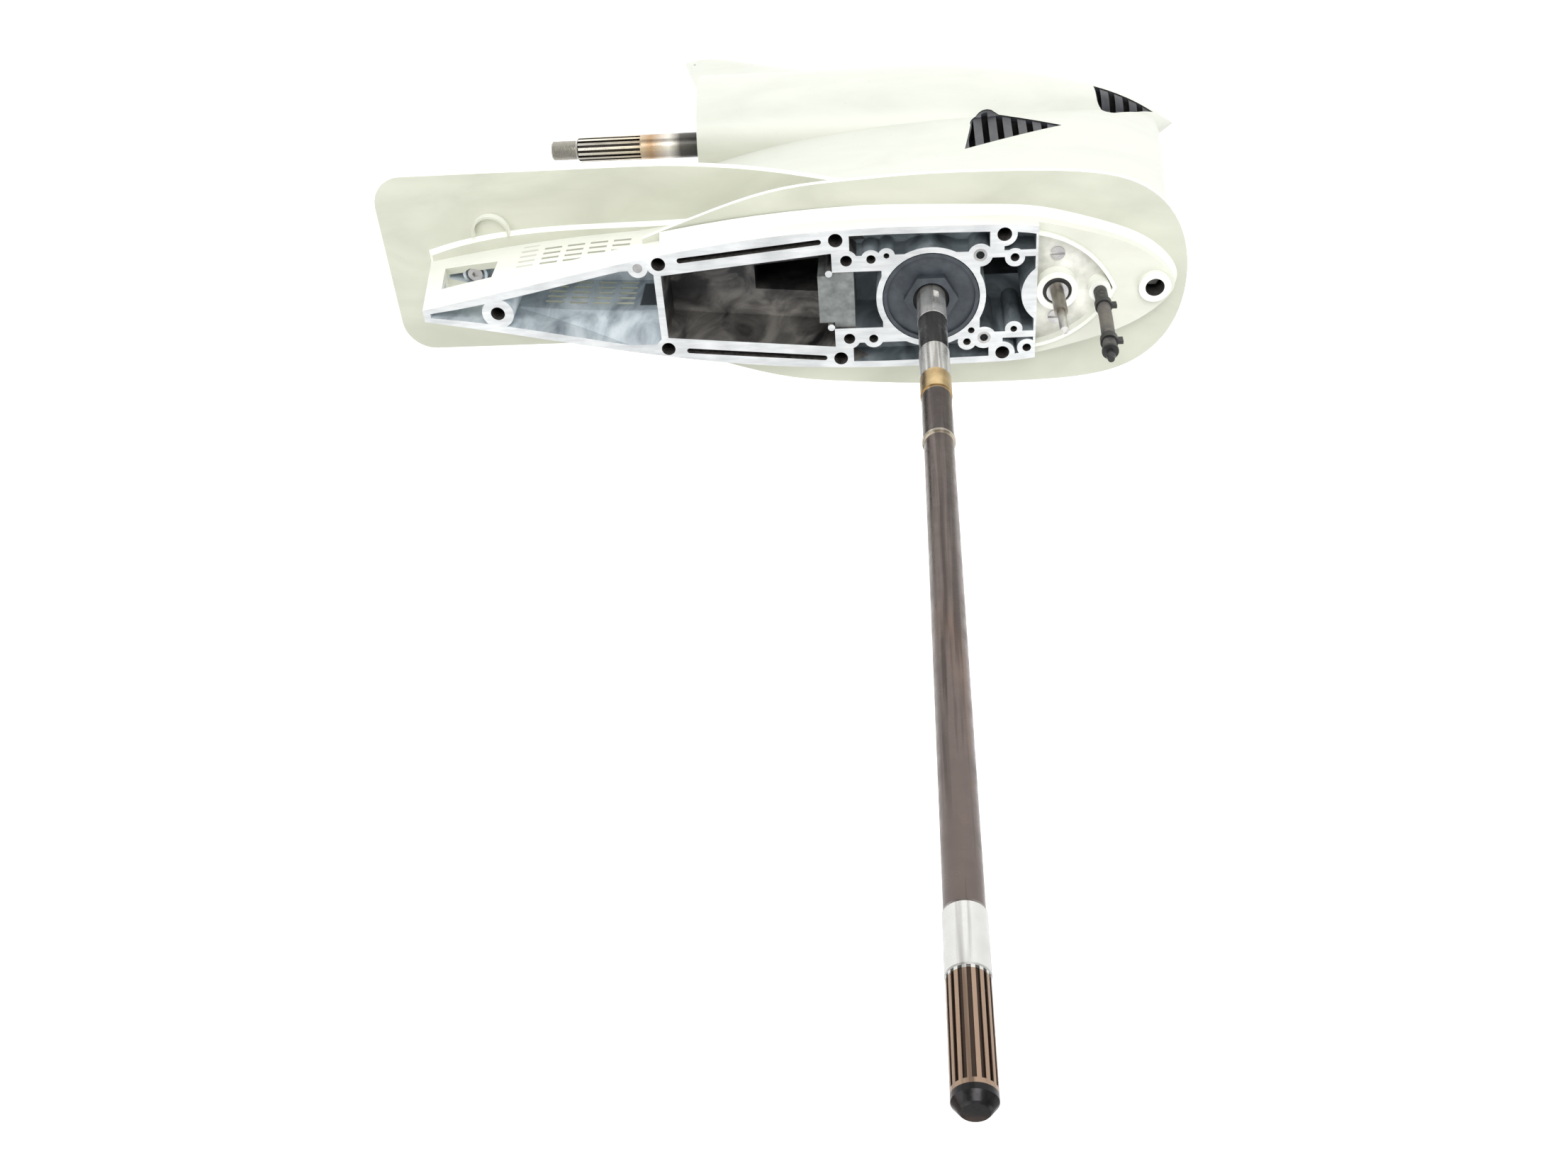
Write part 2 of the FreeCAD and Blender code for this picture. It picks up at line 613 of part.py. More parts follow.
def face_cavities():
    inner = prism(flange_wire(0, -WALL), V(0, 0, -REAR_MOUTH_DEPTH))
    stations = BLOCK_STATIONS[:-1] + [(WEB_AFT, BLOCK_STATIONS[-1][1])]
    throat = side_wire(stations, -REAR_MOUTH_DEPTH, -WALL)
    mouth = Part.makeLoft([side_wire(stations, 0, REAR_MOUTH_FLARE - WALL), throat], True, True)
    rear_space = mouth.common(inner).fuse(prism(throat, V(0, 0, REAR_MOUTH_DEPTH - REAR_CHAMBER_DEPTH)))
    tip = rear_space.common(box(-FAR, REAR_HOLE_X, -FAR, FAR, -REAR_POCKET_DEPTH, FAR))
    rear = rear_space.common(box(REAR_HOLE_X, -WEB_AFT, -FAR, FAR, -FAR, FAR))
    trapezoid = polygon([(-WEB_FRONT, -EXHAUST_AFT_HALF, 0), (-WEB_FRONT, EXHAUST_AFT_HALF, 0),
                         (-EXHAUST_FRONT, EXHAUST_FRONT_HALF, 0), (-EXHAUST_FRONT, -EXHAUST_FRONT_HALF, 0)])
    exhaust = prism(trapezoid, V(0, 0, -EXHAUST_DEPTH))
    divider_seat = box(-EXHAUST_FRONT, -DIVIDER_FRONT, -DIVIDER_FRONT_HALF, DIVIDER_FRONT_HALF,
                       -EXHAUST_DEPTH, 0)
    behind = box(-DIVIDER_FRONT, -WELL_RADIUS, -DIVIDER_FRONT_HALF, DIVIDER_FRONT_HALF, -EXHAUST_DEPTH, 0)
    forward = box(WELL_RADIUS, FORWARD_CHAMBER_FRONT, -FORWARD_CHAMBER_HALF, FORWARD_CHAMBER_HALF,
                  -FORWARD_CHAMBER_DEPTH, 0)
    pockets = []
    for hand in (-1, 1):
        low, high = sorted((hand * SIDE_POCKET_INNER, hand * FAR))
        pockets.append(inner.common(box(-SIDE_POCKET_AFT, SIDE_POCKET_FRONT, low, high,
                                        -SIDE_POCKET_DEPTH, 0)))
        pockets.append(inner.common(box(BOLT_ROWS[2][0], FORWARD_CHAMBER_FRONT, low, high,
                                        -SIDE_POCKET_DEPTH, 0)))
    spaces = [tip, rear, exhaust, divider_seat, behind, forward] + pockets
    return spaces[0].fuse(spaces[1:]).cut(bosses())


def side_slot(hand):
    (x0, y0), (x1, y1) = SIDE_SLOT_AFT, SIDE_SLOT_FRONT
    length = math.hypot(x1 - x0, y1 - y0)
    across = V(-(y1 - y0) / length, (x1 - x0) / length, 0) * (SIDE_SLOT_WIDTH / 2)
    corners = [V(x0, y0, 0) + across, V(x1, y1, 0) + across, V(x1, y1, 0) - across, V(x0, y0, 0) - across]
    slot = prism(polygon([(c.x, c.y * hand, 0) for c in corners]), V(0, 0, -SIDE_SLOT_DEPTH))
    ends = [post(x, hand * y, SIDE_SLOT_WIDTH / 2, -SIDE_SLOT_DEPTH, 0)
            for x, y in (SIDE_SLOT_AFT, SIDE_SLOT_FRONT)]
    return slot.fuse(ends)


def face_holes():
    holes = [post(REAR_HOLE_X, 0, REAR_HOLE_RADIUS, -REAR_HOLE_DEPTH, 0)]
    for x, y in BOLT_ROWS:
        for hand in (-1, 1):
            holes.append(post(x, hand * y, BOLT_HOLE_RADIUS, -BOLT_HOLE_DEPTH, 0))
    for x, y, radius in TAPPED_HOLES:
        holes.append(post(x, y, radius, -TAPPED_DEPTH, 0))
    for x, y in DOWEL_PLACES:
        holes.append(post(x, y, DOWEL_OUTER, -DOWEL_LENGTH, 0))
    for x, y in NOSE_PLUG_PLACES:
        holes.append(post(x, y, NOSE_PLUG_RADIUS, -NOSE_RECESS - NOSE_PLUG_DEPTH, 0))
    holes.append(post(FACE_SCREW_X, FACE_SCREW_Y, FACE_SCREW_RADIUS, -FACE_SCREW_LENGTH, 0))
    holes.append(post(FRONT_HOLE_X, 0, FRONT_HOLE_RADIUS, -FRONT_HOLE_DEPTH, 0))
    holes.append(post(FRONT_HOLE_X, 0, FRONT_BOLT_SHANK, -FRONT_HOLE_DEPTH - FRONT_BOLT_LENGTH, 0))
    return holes


def side_window():
    wire = polygon([(-aft, 0, -drop) for aft, drop in WINDOW_CORNERS])
    window = prism(wire, V(0, 2 * FAR, 0))
    window.translate(V(0, -FAR, 0))
    return window.cut(bosses()[0])


def grille_slots():
    """The relief grille: rows of slots through the side walls of the rear chamber."""
    slots = []
    for column in range(GRILLE_COLUMNS):
        x = -GRILLE_AFT + column * GRILLE_PITCH_X
        for rows, y0, y1 in ((GRILLE_ROWS_PORT, 0, FLANGE_HALF), (GRILLE_ROWS_STARBOARD, -FLANGE_HALF, 0)):
            for row in range(rows):
                z = -GRILLE_TOP - row * GRILLE_PITCH_Z
                slots.append(box(x, x + GRILLE_SLOT_LENGTH, y0, y1, z - GRILLE_SLOT_HEIGHT, z))
    return slots


def nose_arc(radius, hand, z0, z1):
    return post(NOSE_ARC_CENTRE, -hand * NOSE_ARC_SIDE, radius, z0, z1)


def nose_recess():
    """The sunk floor round the shift shaft, between two arcs that meet in a point."""
    lens = nose_arc(NOSE_ARC_RADIUS, 1, -NOSE_RECESS, 0)
    lens = lens.common(nose_arc(NOSE_ARC_RADIUS, -1, -NOSE_RECESS, 0))
    lens = lens.common(box(FACE_FRONT, FAR, -FAR, FAR, -NOSE_RECESS, 0))
    return lens.cut(post(SHIFT_X, 0, SHIFT_COLLAR_RADIUS, -NOSE_RECESS, 0).fuse(
        post(HOSE_X, 0, HOSE_BOSS_RADIUS, -NOSE_RECESS, 0)))


def nose_top_cut():
    """What is taken off ahead of the machined face, leaving the lip and the three bosses."""
    top = box(FACE_FRONT, FAR, -FAR, FAR, -NOSE_DROP, FAR)
    outer = NOSE_ARC_RADIUS + NOSE_LIP
    lip = nose_arc(outer, 1, -NOSE_DROP, -NOSE_DROP + NOSE_LIP).common(
        nose_arc(outer, -1, -NOSE_DROP, -NOSE_DROP + NOSE_LIP))
    keep = [post(SHIFT_X, 0, SHIFT_COLLAR_RADIUS, -NOSE_DROP, -SHIFT_COLLAR_TOP),
            post(HOSE_X, 0, HOSE_BOSS_RADIUS, -NOSE_DROP, 0),
            post(FRONT_HOLE_X, 0, FRONT_BOSS_RADIUS, -NOSE_DROP, -FRONT_BOSS_TOP)]
    return top.cut([lip] + keep)


def outline_prism(aft_low, aft_high, corner, shoulder, point, floor, hand):
    """An intake's outline carried sideways from a floor near the middle to outside the casting."""
    def at(place):
        return V(place[0], hand * floor, place[1] - SHAFT_DROP)
    edges = [Part.LineSegment(at(aft_low), at(aft_high)).toShape(),
             Part.Arc(at(aft_high), at(corner), at(shoulder)).toShape(),
             Part.LineSegment(at(shoulder), at(point)).toShape(),
             Part.LineSegment(at(point), at(aft_low)).toShape()]
    return prism(Part.Wire(edges), V(0, hand * 2 * TORPEDO_RADIUS, 0))


def side_intake(hand):
    return outline_prism(SIDE_INTAKE_AFT_TOP, SIDE_INTAKE_AFT_FOOT, SIDE_INTAKE_CORNER,
                         SIDE_INTAKE_FOOT, SIDE_INTAKE_POINT, SIDE_INTAKE_FLOOR, hand)


def nose_intake(hand):
    return outline_prism(NOSE_INTAKE_FOOT, NOSE_INTAKE_TOP, NOSE_INTAKE_CORNER,
                         NOSE_INTAKE_SHOULDER, NOSE_INTAKE_POINT, NOSE_INTAKE_FLOOR, hand)


def intake_screen(outside, window, hand):
    """A curved screen let into an intake, a little below the casting's skin, with upright slots."""
    front = outside.copy()
    front.translate(V(0, -hand * SCREEN_INSET, 0))
    back = outside.copy()
    back.translate(V(0, -hand * (SCREEN_INSET + SCREEN_THICK), 0))
    screen = window.common(front).cut(back)
    bounds = screen.BoundBox
    x = bounds.XMin + SCREEN_FRAME + SCREEN_BAR_PITCH / 2
    slots = []
    while x + SCREEN_SLOT < bounds.XMax - 2 * SCREEN_FRAME:
        slots.append(box(x, x + SCREEN_SLOT, -FAR, FAR, -FAR, FAR))
        x += SCREEN_BAR_PITCH
    inner = window.copy()
    centre = inner.CenterOfMass
    inner = inner.scale(1 - 2 * SCREEN_FRAME / bounds.ZLength, V(centre.x, 0, centre.z))
    cutters = [slot.common(inner) for slot in slots]
    screen = screen.cut([c for c in cutters if c.Volume > 1])
    return max(screen.Solids, key=lambda solid: solid.Volume)


def shaft_bores():
    """Bores for the two shafts, the shift shaft and what runs on them."""
    top = -WELL_DEPTH
    bearing_bottom = UPPER_BEARING_TOP + UPPER_BEARING_WIDTH
    chamber_top = -SHAFT_DROP + GEAR_CHAMBER_RADIUS / 2
    lock_bore = UPPER_BEARING_OUTER + 1
    return [
        post(0, 0, WELL_RADIUS, top, 0),
        post(0, 0, lock_bore, -UPPER_BEARING_TOP, top),
        post(0, 0, UPPER_BEARING_OUTER, -bearing_bottom, -UPPER_BEARING_TOP),
        post(0, 0, SHAFT_BORE, -PINION_BEARING_TOP, -bearing_bottom),
        post(0, 0, PINION_BEARING_OUTER, -PINION_BEARING_BOTTOM, -PINION_BEARING_TOP),
        post(0, 0, PINION_PITCH_RADIUS + 2 * TOOTH_ADDENDUM, chamber_top, -PINION_BEARING_BOTTOM),
        rod(NUT_BORE, -TORPEDO_AFT, -TORPEDO_AFT + NUT_LENGTH),
        rod(CARRIER_BORE, -TORPEDO_AFT, -GEAR_CHAMBER_AFT),
        rod(GEAR_CHAMBER_RADIUS, -GEAR_CHAMBER_AFT, GEAR_CHAMBER_FORWARD),
        rod(GEAR_BEARING_OUTER, 0, GEAR_BEARING_START + GEAR_BEARING_WIDTH),
        rod(GEAR_HUB_RADIUS + SHIFT_RADIUS, 0, PROP_SHAFT_FORWARD),
        rod(FOLLOWER_RADIUS + GAP, 0, FOLLOWER_BORE_FORWARD),
        post(SHIFT_X, 0, CAM_RADIUS + GAP, -SHAFT_DROP, -CAM_TOP + GAP),
        post(SHIFT_X, 0, SHIFT_RADIUS + RUNNING_FIT, -SHAFT_DROP, 0),
        post(SHIFT_X, 0, SHIFT_OIL_BORE, -SHIFT_GUIDE_TOP, 0),
        post(SHIFT_X, 0, SHIFT_BUSH_RADIUS, -SHIFT_BUSH_BOTTOM, 0),
        post(SHIFT_X, 0, SHIFT_SEAL_RADIUS, -NOSE_RECESS, 0),
    ]


def passages():
    """The exhaust drop into the torpedo, and the ducts that lead water up to the pump."""
    drop = polygon([(-PASSAGE_AFT, -PASSAGE_AFT_HALF, -SHAFT_DROP),
                    (-PASSAGE_AFT, PASSAGE_AFT_HALF, -SHAFT_DROP),
                    (-PASSAGE_FRONT, PASSAGE_FRONT_HALF, -SHAFT_DROP),
                    (-PASSAGE_FRONT, -PASSAGE_FRONT_HALF, -SHAFT_DROP)])
    exhaust = prism(drop, V(0, 0, SHAFT_DROP - EXHAUST_DEPTH))
    duct = box(WATER_DUCT_AFT, WATER_DUCT_FRONT, -WATER_DUCT_HALF, WATER_DUCT_HALF,
               -WATER_DUCT_BOTTOM, -WATER_DUCT_TOP)
    crossing = box(WATER_DUCT_AFT, WATER_DUCT_FRONT, -SIDE_INTAKE_FLOOR, SIDE_INTAKE_FLOOR,
                   -WATER_DUCT_BOTTOM, -WATER_DUCT_BOTTOM + 2 * WATER_DUCT_HALF)
    nose_link = Part.makeCylinder(NOSE_INTAKE_FLOOR + WALL, 4 * NOSE_INTAKE_FLOOR,
                                  V((NOSE_INTAKE_FOOT[0] + NOSE_INTAKE_POINT[0]) / 2 - 2 * WALL,
                                    -2 * NOSE_INTAKE_FLOOR, -SHAFT_DROP + NOSE_INTAKE_TOP[1] / 2), ALONG_Y)
    return [exhaust, duct, crossing, nose_link]


def tab_seat():
    """The raised seat in the rear window for the bolt that holds the trim tab below."""
    boss = post(TAB_X, 0, TAB_BOSS_RADIUS, -REAR_POCKET_DEPTH - WALL, -REAR_POCKET_DEPTH + TAB_BOSS_HEIGHT)
    hole = post(TAB_X, 0, TAB_BOLT_RADIUS, -PLATE_UNDER - WALL, 0)
    head = post(TAB_X, 0, TAB_COUNTERBORE, -REAR_POCKET_DEPTH + TAB_BOSS_HEIGHT - TAB_BOLT_HEAD,
                -REAR_POCKET_DEPTH + 2 * TAB_BOSS_HEIGHT)
    return boss, hole, head


def crescents():
    """The half-round rims that stand on the plate beside the rear window."""
    found = []
    for hand in (-1, 1):
        rim = collar(CRESCENT_X, hand * CRESCENT_Y, CRESCENT_RADIUS, CRESCENT_RADIUS - CRESCENT_RIM,
                     -PLATE_TOP - 1, -PLATE_TOP + CRESCENT_HEIGHT)
        low, high = sorted((hand * (CRESCENT_Y - CRESCENT_RIM), hand * FAR))
        found.append(rim.common(box(-FAR, FAR, low, high, -FAR, FAR)))
    return found


def drain_place():
    side = V(0, -math.cos(math.radians(DRAIN_ANGLE)), -math.sin(math.radians(DRAIN_ANGLE)))
    return V(DRAIN_X, 0, -SHAFT_DROP) + side * (GEAR_CHAMBER_RADIUS - 1), side


def plug(place, side, length, radius=PLUG_RADIUS):
    body = Part.makeCylinder(radius, length, place, side)
    head = place + side * (length - PLUG_HEAD_SLOT)
    slot = Part.makeBox(2 * FAR, PLUG_HEAD_SLOT, PLUG_HEAD_SLOT + 1)
    slot.translate(V(-FAR, -PLUG_HEAD_SLOT / 2, 0))
    slot.Placement = FreeCAD.Placement(head, FreeCAD.Rotation(ALONG_Z, side)).multiply(slot.Placement)
    return body.cut(slot)


def make_casting(outside):
    boss, tab_hole, tab_head = tab_seat()
    hooks = [post(-DIVIDER_STEP - HOOK_RADIUS, hand * (DIVIDER_AFT_HALF + HOOK_RADIUS + GAP), HOOK_RADIUS,
                  -EXHAUST_DEPTH - 1, 0) for hand in (-1, 1)]
    tooling = [face_cavities(), side_window(), nose_recess(), nose_top_cut()]
    tooling += [side_slot(1), side_slot(-1)] + grille_slots() + passages()
    body = outside.fuse(crescents()).cut(tooling).fuse([boss] + hooks)
    drain, side = drain_place()
    holes = face_holes() + shaft_bores() + [tab_hole, tab_head]
    holes += [side_intake(1), side_intake(-1), nose_intake(1), nose_intake(-1)]
    holes.append(Part.makeCylinder(PLUG_RADIUS, 2 * WALL + TORPEDO_RADIUS, drain, side))
    vent_start = V(VENT_X, -SHAFT_BORE / 2, -VENT_DROP)
    holes.append(Part.makeCylinder(PLUG_RADIUS, FLANGE_HALF, vent_start, -ALONG_Y))
    body = body.cut(holes)
    return max(body.Solids, key=lambda solid: solid.Volume)


# Bearings and gears, built up +Z and then laid on their shafts

def taper_bearing(bore, outer, width):
    """Cup, and cone with its rollers as one band, the small end at z = 0."""
    roller = (outer - bore) * 0.2
    slope = math.tan(math.radians(BEARING_SLOPE))
    pitch = (outer + bore) / 2 - width / 2 * slope

    def race(z, offset):
        return pitch + z * slope + offset
    cup = turned([(outer, 0), (outer, width), (race(width, roller + RUNNING_FIT), width),
                  (race(0, roller + RUNNING_FIT), 0)])
    lip = width * 0.1
    cone = turned([(bore, 0), (bore, width), (race(width, 0), width), (race(width, 0), width - lip),
                   (race(width - lip, roller), width - lip), (race(lip, roller), lip),
                   (race(lip, 0), lip), (race(lip, 0), 0)])
    return cup, cone


def bevel_tooth(pitch_radius, mate_radius, pitch_width, embed):
    """One straight tooth that narrows towards the shafts' crossing, centred on +X."""
    distance = math.hypot(pitch_radius, mate_radius)
    out = V(pitch_radius, 0, mate_radius) / distance
    tip = V(mate_radius, 0, -pitch_radius) / distance
    side = V(0, 1, 0)

    def section(scale):
        centre = out * (distance * scale)
        half_tip = pitch_width * TOOTH_TIP_SHARE / 2
        half_root = pitch_width * TOOTH_ROOT_SHARE / 2
        corners = [(-half_root, -TOOTH_DEDENDUM - embed), (-half_tip, TOOTH_ADDENDUM),
                   (half_tip, TOOTH_ADDENDUM), (half_root, -TOOTH_DEDENDUM - embed)]
        points = [centre + side * (a * scale) + tip * (b * scale) for a, b in corners]
        return Part.makePolygon(points + [points[0]])
    return Part.makeLoft([section(1.0), section((distance - GEAR_FACE) / distance)], True, True)


def toothed(blank, teeth, pitch_radius, mate_radius, first_angle):
    tooth = bevel_tooth(pitch_radius, mate_radius, 2 * math.pi * pitch_radius / teeth, ROOT_OVERLAP)
    ring_of_teeth = []
    for index in range(teeth):
        copy = tooth.copy()
        copy.rotate(V(0, 0, 0), ALONG_Z, first_angle + 360 * index / teeth)
        ring_of_teeth.append(copy)
    return blank.fuse(ring_of_teeth)


def root_corners(pitch_radius, mate_radius):
    """Large-end and small-end corners of the root cone, as (radius, height)."""
    distance = math.hypot(pitch_radius, mate_radius)
    large = (pitch_radius - TOOTH_DEDENDUM * mate_radius / distance,
             mate_radius + TOOTH_DEDENDUM * pitch_radius / distance)
    share = (distance - GEAR_FACE) / distance
    return large, (large[0] * share, large[1] * share)


def lugs(inner, outer, z0, z1, first_angle):
    """Clutch lugs: equal sectors of a ring."""
    found = []
    for index in range(LUG_COUNT):
        sector = Part.makeCylinder(outer, z1 - z0, V(0, 0, z0), ALONG_Z, LUG_ANGLE)
        sector = sector.cut(Part.makeCylinder(inner, z1 - z0, V(0, 0, z0)))
        sector.rotate(V(0, 0, 0), ALONG_Z, first_angle - LUG_ANGLE / 2 + 360 * index / LUG_COUNT)
        found.append(sector)
    return found


def side_gear(bore, gap_angle):
    """Forward or reverse gear: teeth and lugs towards the crossing, bearing hub behind."""
    large, small = root_corners(GEAR_PITCH_RADIUS, PINION_PITCH_RADIUS)
    blank = turned([(bore, GEAR_INNER_FACE), (small[0] - 2, GEAR_INNER_FACE), small, large,
                    (large[0], GEAR_BACK), (GEAR_HUB_RADIUS, GEAR_BACK), (GEAR_HUB_RADIUS, GEAR_HUB_END),
                    (bore, GEAR_HUB_END)])
    gear = toothed(blank, GEAR_TEETH, GEAR_PITCH_RADIUS, PINION_PITCH_RADIUS, gap_angle + 180 / GEAR_TEETH)
    return gear.fuse(lugs(LUG_INNER, DOG_RADIUS, GEAR_INNER_FACE - LUG_HEIGHT + GAP / 3,
                          GEAR_INNER_FACE + 1, 0))


def pinion():
    large, small = root_corners(PINION_PITCH_RADIUS, GEAR_PITCH_RADIUS)
    back = SHAFT_DROP - PINION_BACK
    blank = turned([(PINION_SEAT_RADIUS, small[1]), small, large, (large[0], large[1] + WALL / 2),
                    (PINION_HUB_RADIUS, back), (PINION_SEAT_RADIUS, back)])
    gear = toothed(blank, PINION_TEETH, PINION_PITCH_RADIUS, GEAR_PITCH_RADIUS, 0)
    gear.translate(PROP_AXIS)
    return gear


# Shafts

def spline_grooves(count, radius, depth, width, z0, z1):
    grooves = []
    for index in range(count):
        groove = box(radius - depth, radius + 1, -width / 2, width / 2, z0, z1)
        groove.rotate(V(0, 0, 0), ALONG_Z, 360 * index / count)
        grooves.append(groove)
    return grooves


def drive_shaft():
    """Thread, pinion seat, journals, long tube and splined head, from the bottom up."""
    small = root_corners(PINION_PITCH_RADIUS, GEAR_PITCH_RADIUS)[1]
    seat = -SHAFT_DROP + small[1]
    thread = seat - PINION_NUT_THICK
    chamfer = SPLINE_RADIUS - TIP_RADIUS
    steps = [(0, thread), (PINION_THREAD_RADIUS, thread), (PINION_THREAD_RADIUS, seat),
             (PINION_SEAT_RADIUS, seat), (PINION_SEAT_RADIUS, -PINION_BACK), (SHAFT_RADIUS, -PINION_BACK),
             (SHAFT_RADIUS, JOURNAL_TOP), (BAND_RADIUS, JOURNAL_TOP + 1), (BAND_RADIUS, BAND_TOP - 1),
             (SHAFT_RADIUS, BAND_TOP), (SHAFT_RADIUS, UPPER_JOURNAL_TOP),
             (COLLAR_GROOVE_RADIUS, UPPER_JOURNAL_TOP), (COLLAR_GROOVE_RADIUS, COLLAR_TOP),
             (NECK_RADIUS, COLLAR_TOP + 1), (NECK_RADIUS, RING_BOTTOM), (SHAFT_RADIUS, RING_BOTTOM),
             (SHAFT_RADIUS, RING_TOP), (TUBE_RADIUS, RING_TOP), (TUBE_RADIUS, TUBE_TOP - 2),
             (HEAD_RADIUS, TUBE_TOP), (HEAD_RADIUS, SPLINE_BOTTOM - 1), (SPLINE_RADIUS, SPLINE_BOTTOM),
             (SPLINE_RADIUS, SHAFT_TOP - chamfer - 2), (TIP_RADIUS, SHAFT_TOP - 1),
             (TIP_RADIUS - 1, SHAFT_TOP), (0, SHAFT_TOP)]
    shaft = turned(steps)
    grooves = spline_grooves(DRIVE_SPLINES, SPLINE_RADIUS, SPLINE_GROOVE_DEPTH, SPLINE_GROOVE_WIDTH,
                             SPLINE_BOTTOM, SPLINE_TOP)
    keyway = box(SHAFT_RADIUS - KEYWAY_DEPTH, SHAFT_RADIUS + 1, -KEYWAY_WIDTH / 2, KEYWAY_WIDTH / 2,
                 KEYWAY_BOTTOM, KEYWAY_TOP)
    keyway.rotate(V(0, 0, 0), ALONG_Z, KEYWAY_ANGLE)
    return shaft.cut(grooves + [keyway])


def propeller_shaft():
    """Built up +Z from the thread's tip and laid so that its front end points forward."""
    step = PROP_SPLINE_RADIUS - PROP_THREAD_RADIUS
    steps = [(0, -PROP_TIP), (PROP_THREAD_RADIUS - 1.5, -PROP_TIP), (PROP_THREAD_RADIUS, -PROP_TIP + 1.5),
             (PROP_THREAD_RADIUS, -PROP_SPLINE_END), (PROP_SPLINE_RADIUS, -PROP_SPLINE_END + step),
             (PROP_SPLINE_RADIUS, -PROP_SPLINE_START), (PROP_ROOT_RADIUS, -PROP_SPLINE_START + 1),
             (PROP_ROOT_RADIUS, -PROP_ROOT_START), (PROP_SHAFT_RADIUS, -PROP_ROOT_START),
             (PROP_SHAFT_RADIUS, PROP_SHAFT_FORWARD), (0, PROP_SHAFT_FORWARD)]
    shaft = turned(steps)
    shaft = shaft.cut(spline_grooves(PROP_SPLINES, PROP_SPLINE_RADIUS, PROP_GROOVE_DEPTH, PROP_GROOVE_WIDTH,
                                     -PROP_SPLINE_END, -PROP_SPLINE_START))
    reach = DOG_TRAVEL + CROSS_PIN_RADIUS + GAP
    bore_length = PROP_SHAFT_FORWARD + 2 * reach
    bore = Part.makeCylinder(PLUNGER_RADIUS + RUNNING_FIT, bore_length, V(0, 0, -2 * reach))
    half = CROSS_PIN_RADIUS + RUNNING_FIT
    slot = box(-half, half, -2 * PROP_SHAFT_RADIUS, 2 * PROP_SHAFT_RADIUS, -reach, reach)
    return laid_forward(shaft.cut([bore, slot]))


def clutch_dog():
    middle = DOG_TRAVEL
    body = Part.makeCylinder(DOG_RADIUS, 2 * DOG_HALF_LENGTH, V(0, 0, middle - DOG_HALF_LENGTH))
    for start, end in ((middle + DOG_HALF_LENGTH - 1, middle + DOG_HALF_LENGTH + LUG_HEIGHT),
                       (middle - DOG_HALF_LENGTH - LUG_HEIGHT, middle - DOG_HALF_LENGTH + 1)):
        body = body.fuse(lugs(LUG_INNER, DOG_RADIUS, start, end, 180 / LUG_COUNT))
    groove_width = SPRING_WIDTH + GAP
    groove = Part.makeCylinder(DOG_RADIUS + 1, groove_width, V(0, 0, middle - groove_width / 2))
    groove = groove.cut(Part.makeCylinder(DOG_RADIUS - SPRING_THICK, FAR, V(0, 0, -FAR / 2)))
    bore = Part.makeCylinder(PROP_SHAFT_RADIUS + RUNNING_FIT, FAR, V(0, 0, -FAR / 2))
    pin_hole = Part.makeCylinder(CROSS_PIN_RADIUS, FAR, V(0, -FAR / 2, middle), ALONG_Y)
    return laid_forward(body.cut([groove, bore, pin_hole]))


def shift_plunger():
    start = DOG_TRAVEL - 2 * CROSS_PIN_RADIUS
    neck = PLUNGER_SHOULDER + PLUNGER_NECK_LENGTH
    steps = [(0, start), (PLUNGER_RADIUS, start), (PLUNGER_RADIUS, PLUNGER_SHOULDER),
             (PLUNGER_NECK_RADIUS, PLUNGER_SHOULDER), (PLUNGER_NECK_RADIUS, neck),
             (PLUNGER_HEAD_RADIUS, neck), (PLUNGER_HEAD_RADIUS, neck + PLUNGER_HEAD_LENGTH),
             (0, neck + PLUNGER_HEAD_LENGTH)]
    hole = Part.makeCylinder(CROSS_PIN_RADIUS, FAR, V(0, -FAR / 2, DOG_TRAVEL), ALONG_Y)
    return laid_forward(turned(steps).cut(hole))


def shift_follower():
    """Slides in the nose: a T slot holds the plunger's head, a cross slot takes the cam's pin."""
    neck = PLUNGER_SHOULDER + PLUNGER_NECK_LENGTH
    body = rod(FOLLOWER_RADIUS, FOLLOWER_AFT, FOLLOWER_FORWARD)
    half_neck = PLUNGER_NECK_RADIUS + GAP
    half_head = PLUNGER_HEAD_RADIUS + GAP
    bottom = -SHAFT_DROP - 2 * FOLLOWER_RADIUS
    slots = [rod(half_neck, FOLLOWER_AFT, neck), rod(half_head, neck - GAP, neck + PLUNGER_HEAD_LENGTH + GAP),
             box(FOLLOWER_AFT, neck, -half_neck, half_neck, bottom, -SHAFT_DROP),
             box(neck - GAP, neck + PLUNGER_HEAD_LENGTH + GAP, -half_head, half_head, bottom, -SHAFT_DROP)]
    pin_x = SHIFT_X + DOG_TRAVEL / 2
    half_pin = CAM_PIN_RADIUS + GAP
    pin_foot = -CAM_TOP - CAM_THICK - CAM_PIN_LENGTH - GAP
    slots.append(box(pin_x - half_pin, pin_x + half_pin, CAM_ARM - CAM_PIN_RADIUS - 3 * GAP,
                     2 * FOLLOWER_RADIUS, pin_foot, -SHAFT_DROP + 2 * FOLLOWER_RADIUS))
    return body.cut(slots)


def shift_cam():
    disc = post(SHIFT_X, 0, CAM_RADIUS, -CAM_TOP - CAM_THICK, -CAM_TOP)
    angle = math.radians(90 - CAM_HALF_SWING)
    pin = post(SHIFT_X + CAM_ARM * math.cos(angle), CAM_ARM * math.sin(angle), CAM_PIN_RADIUS,
               -CAM_TOP - CAM_THICK - CAM_PIN_LENGTH, -CAM_TOP - 1)
    return disc.fuse(pin)


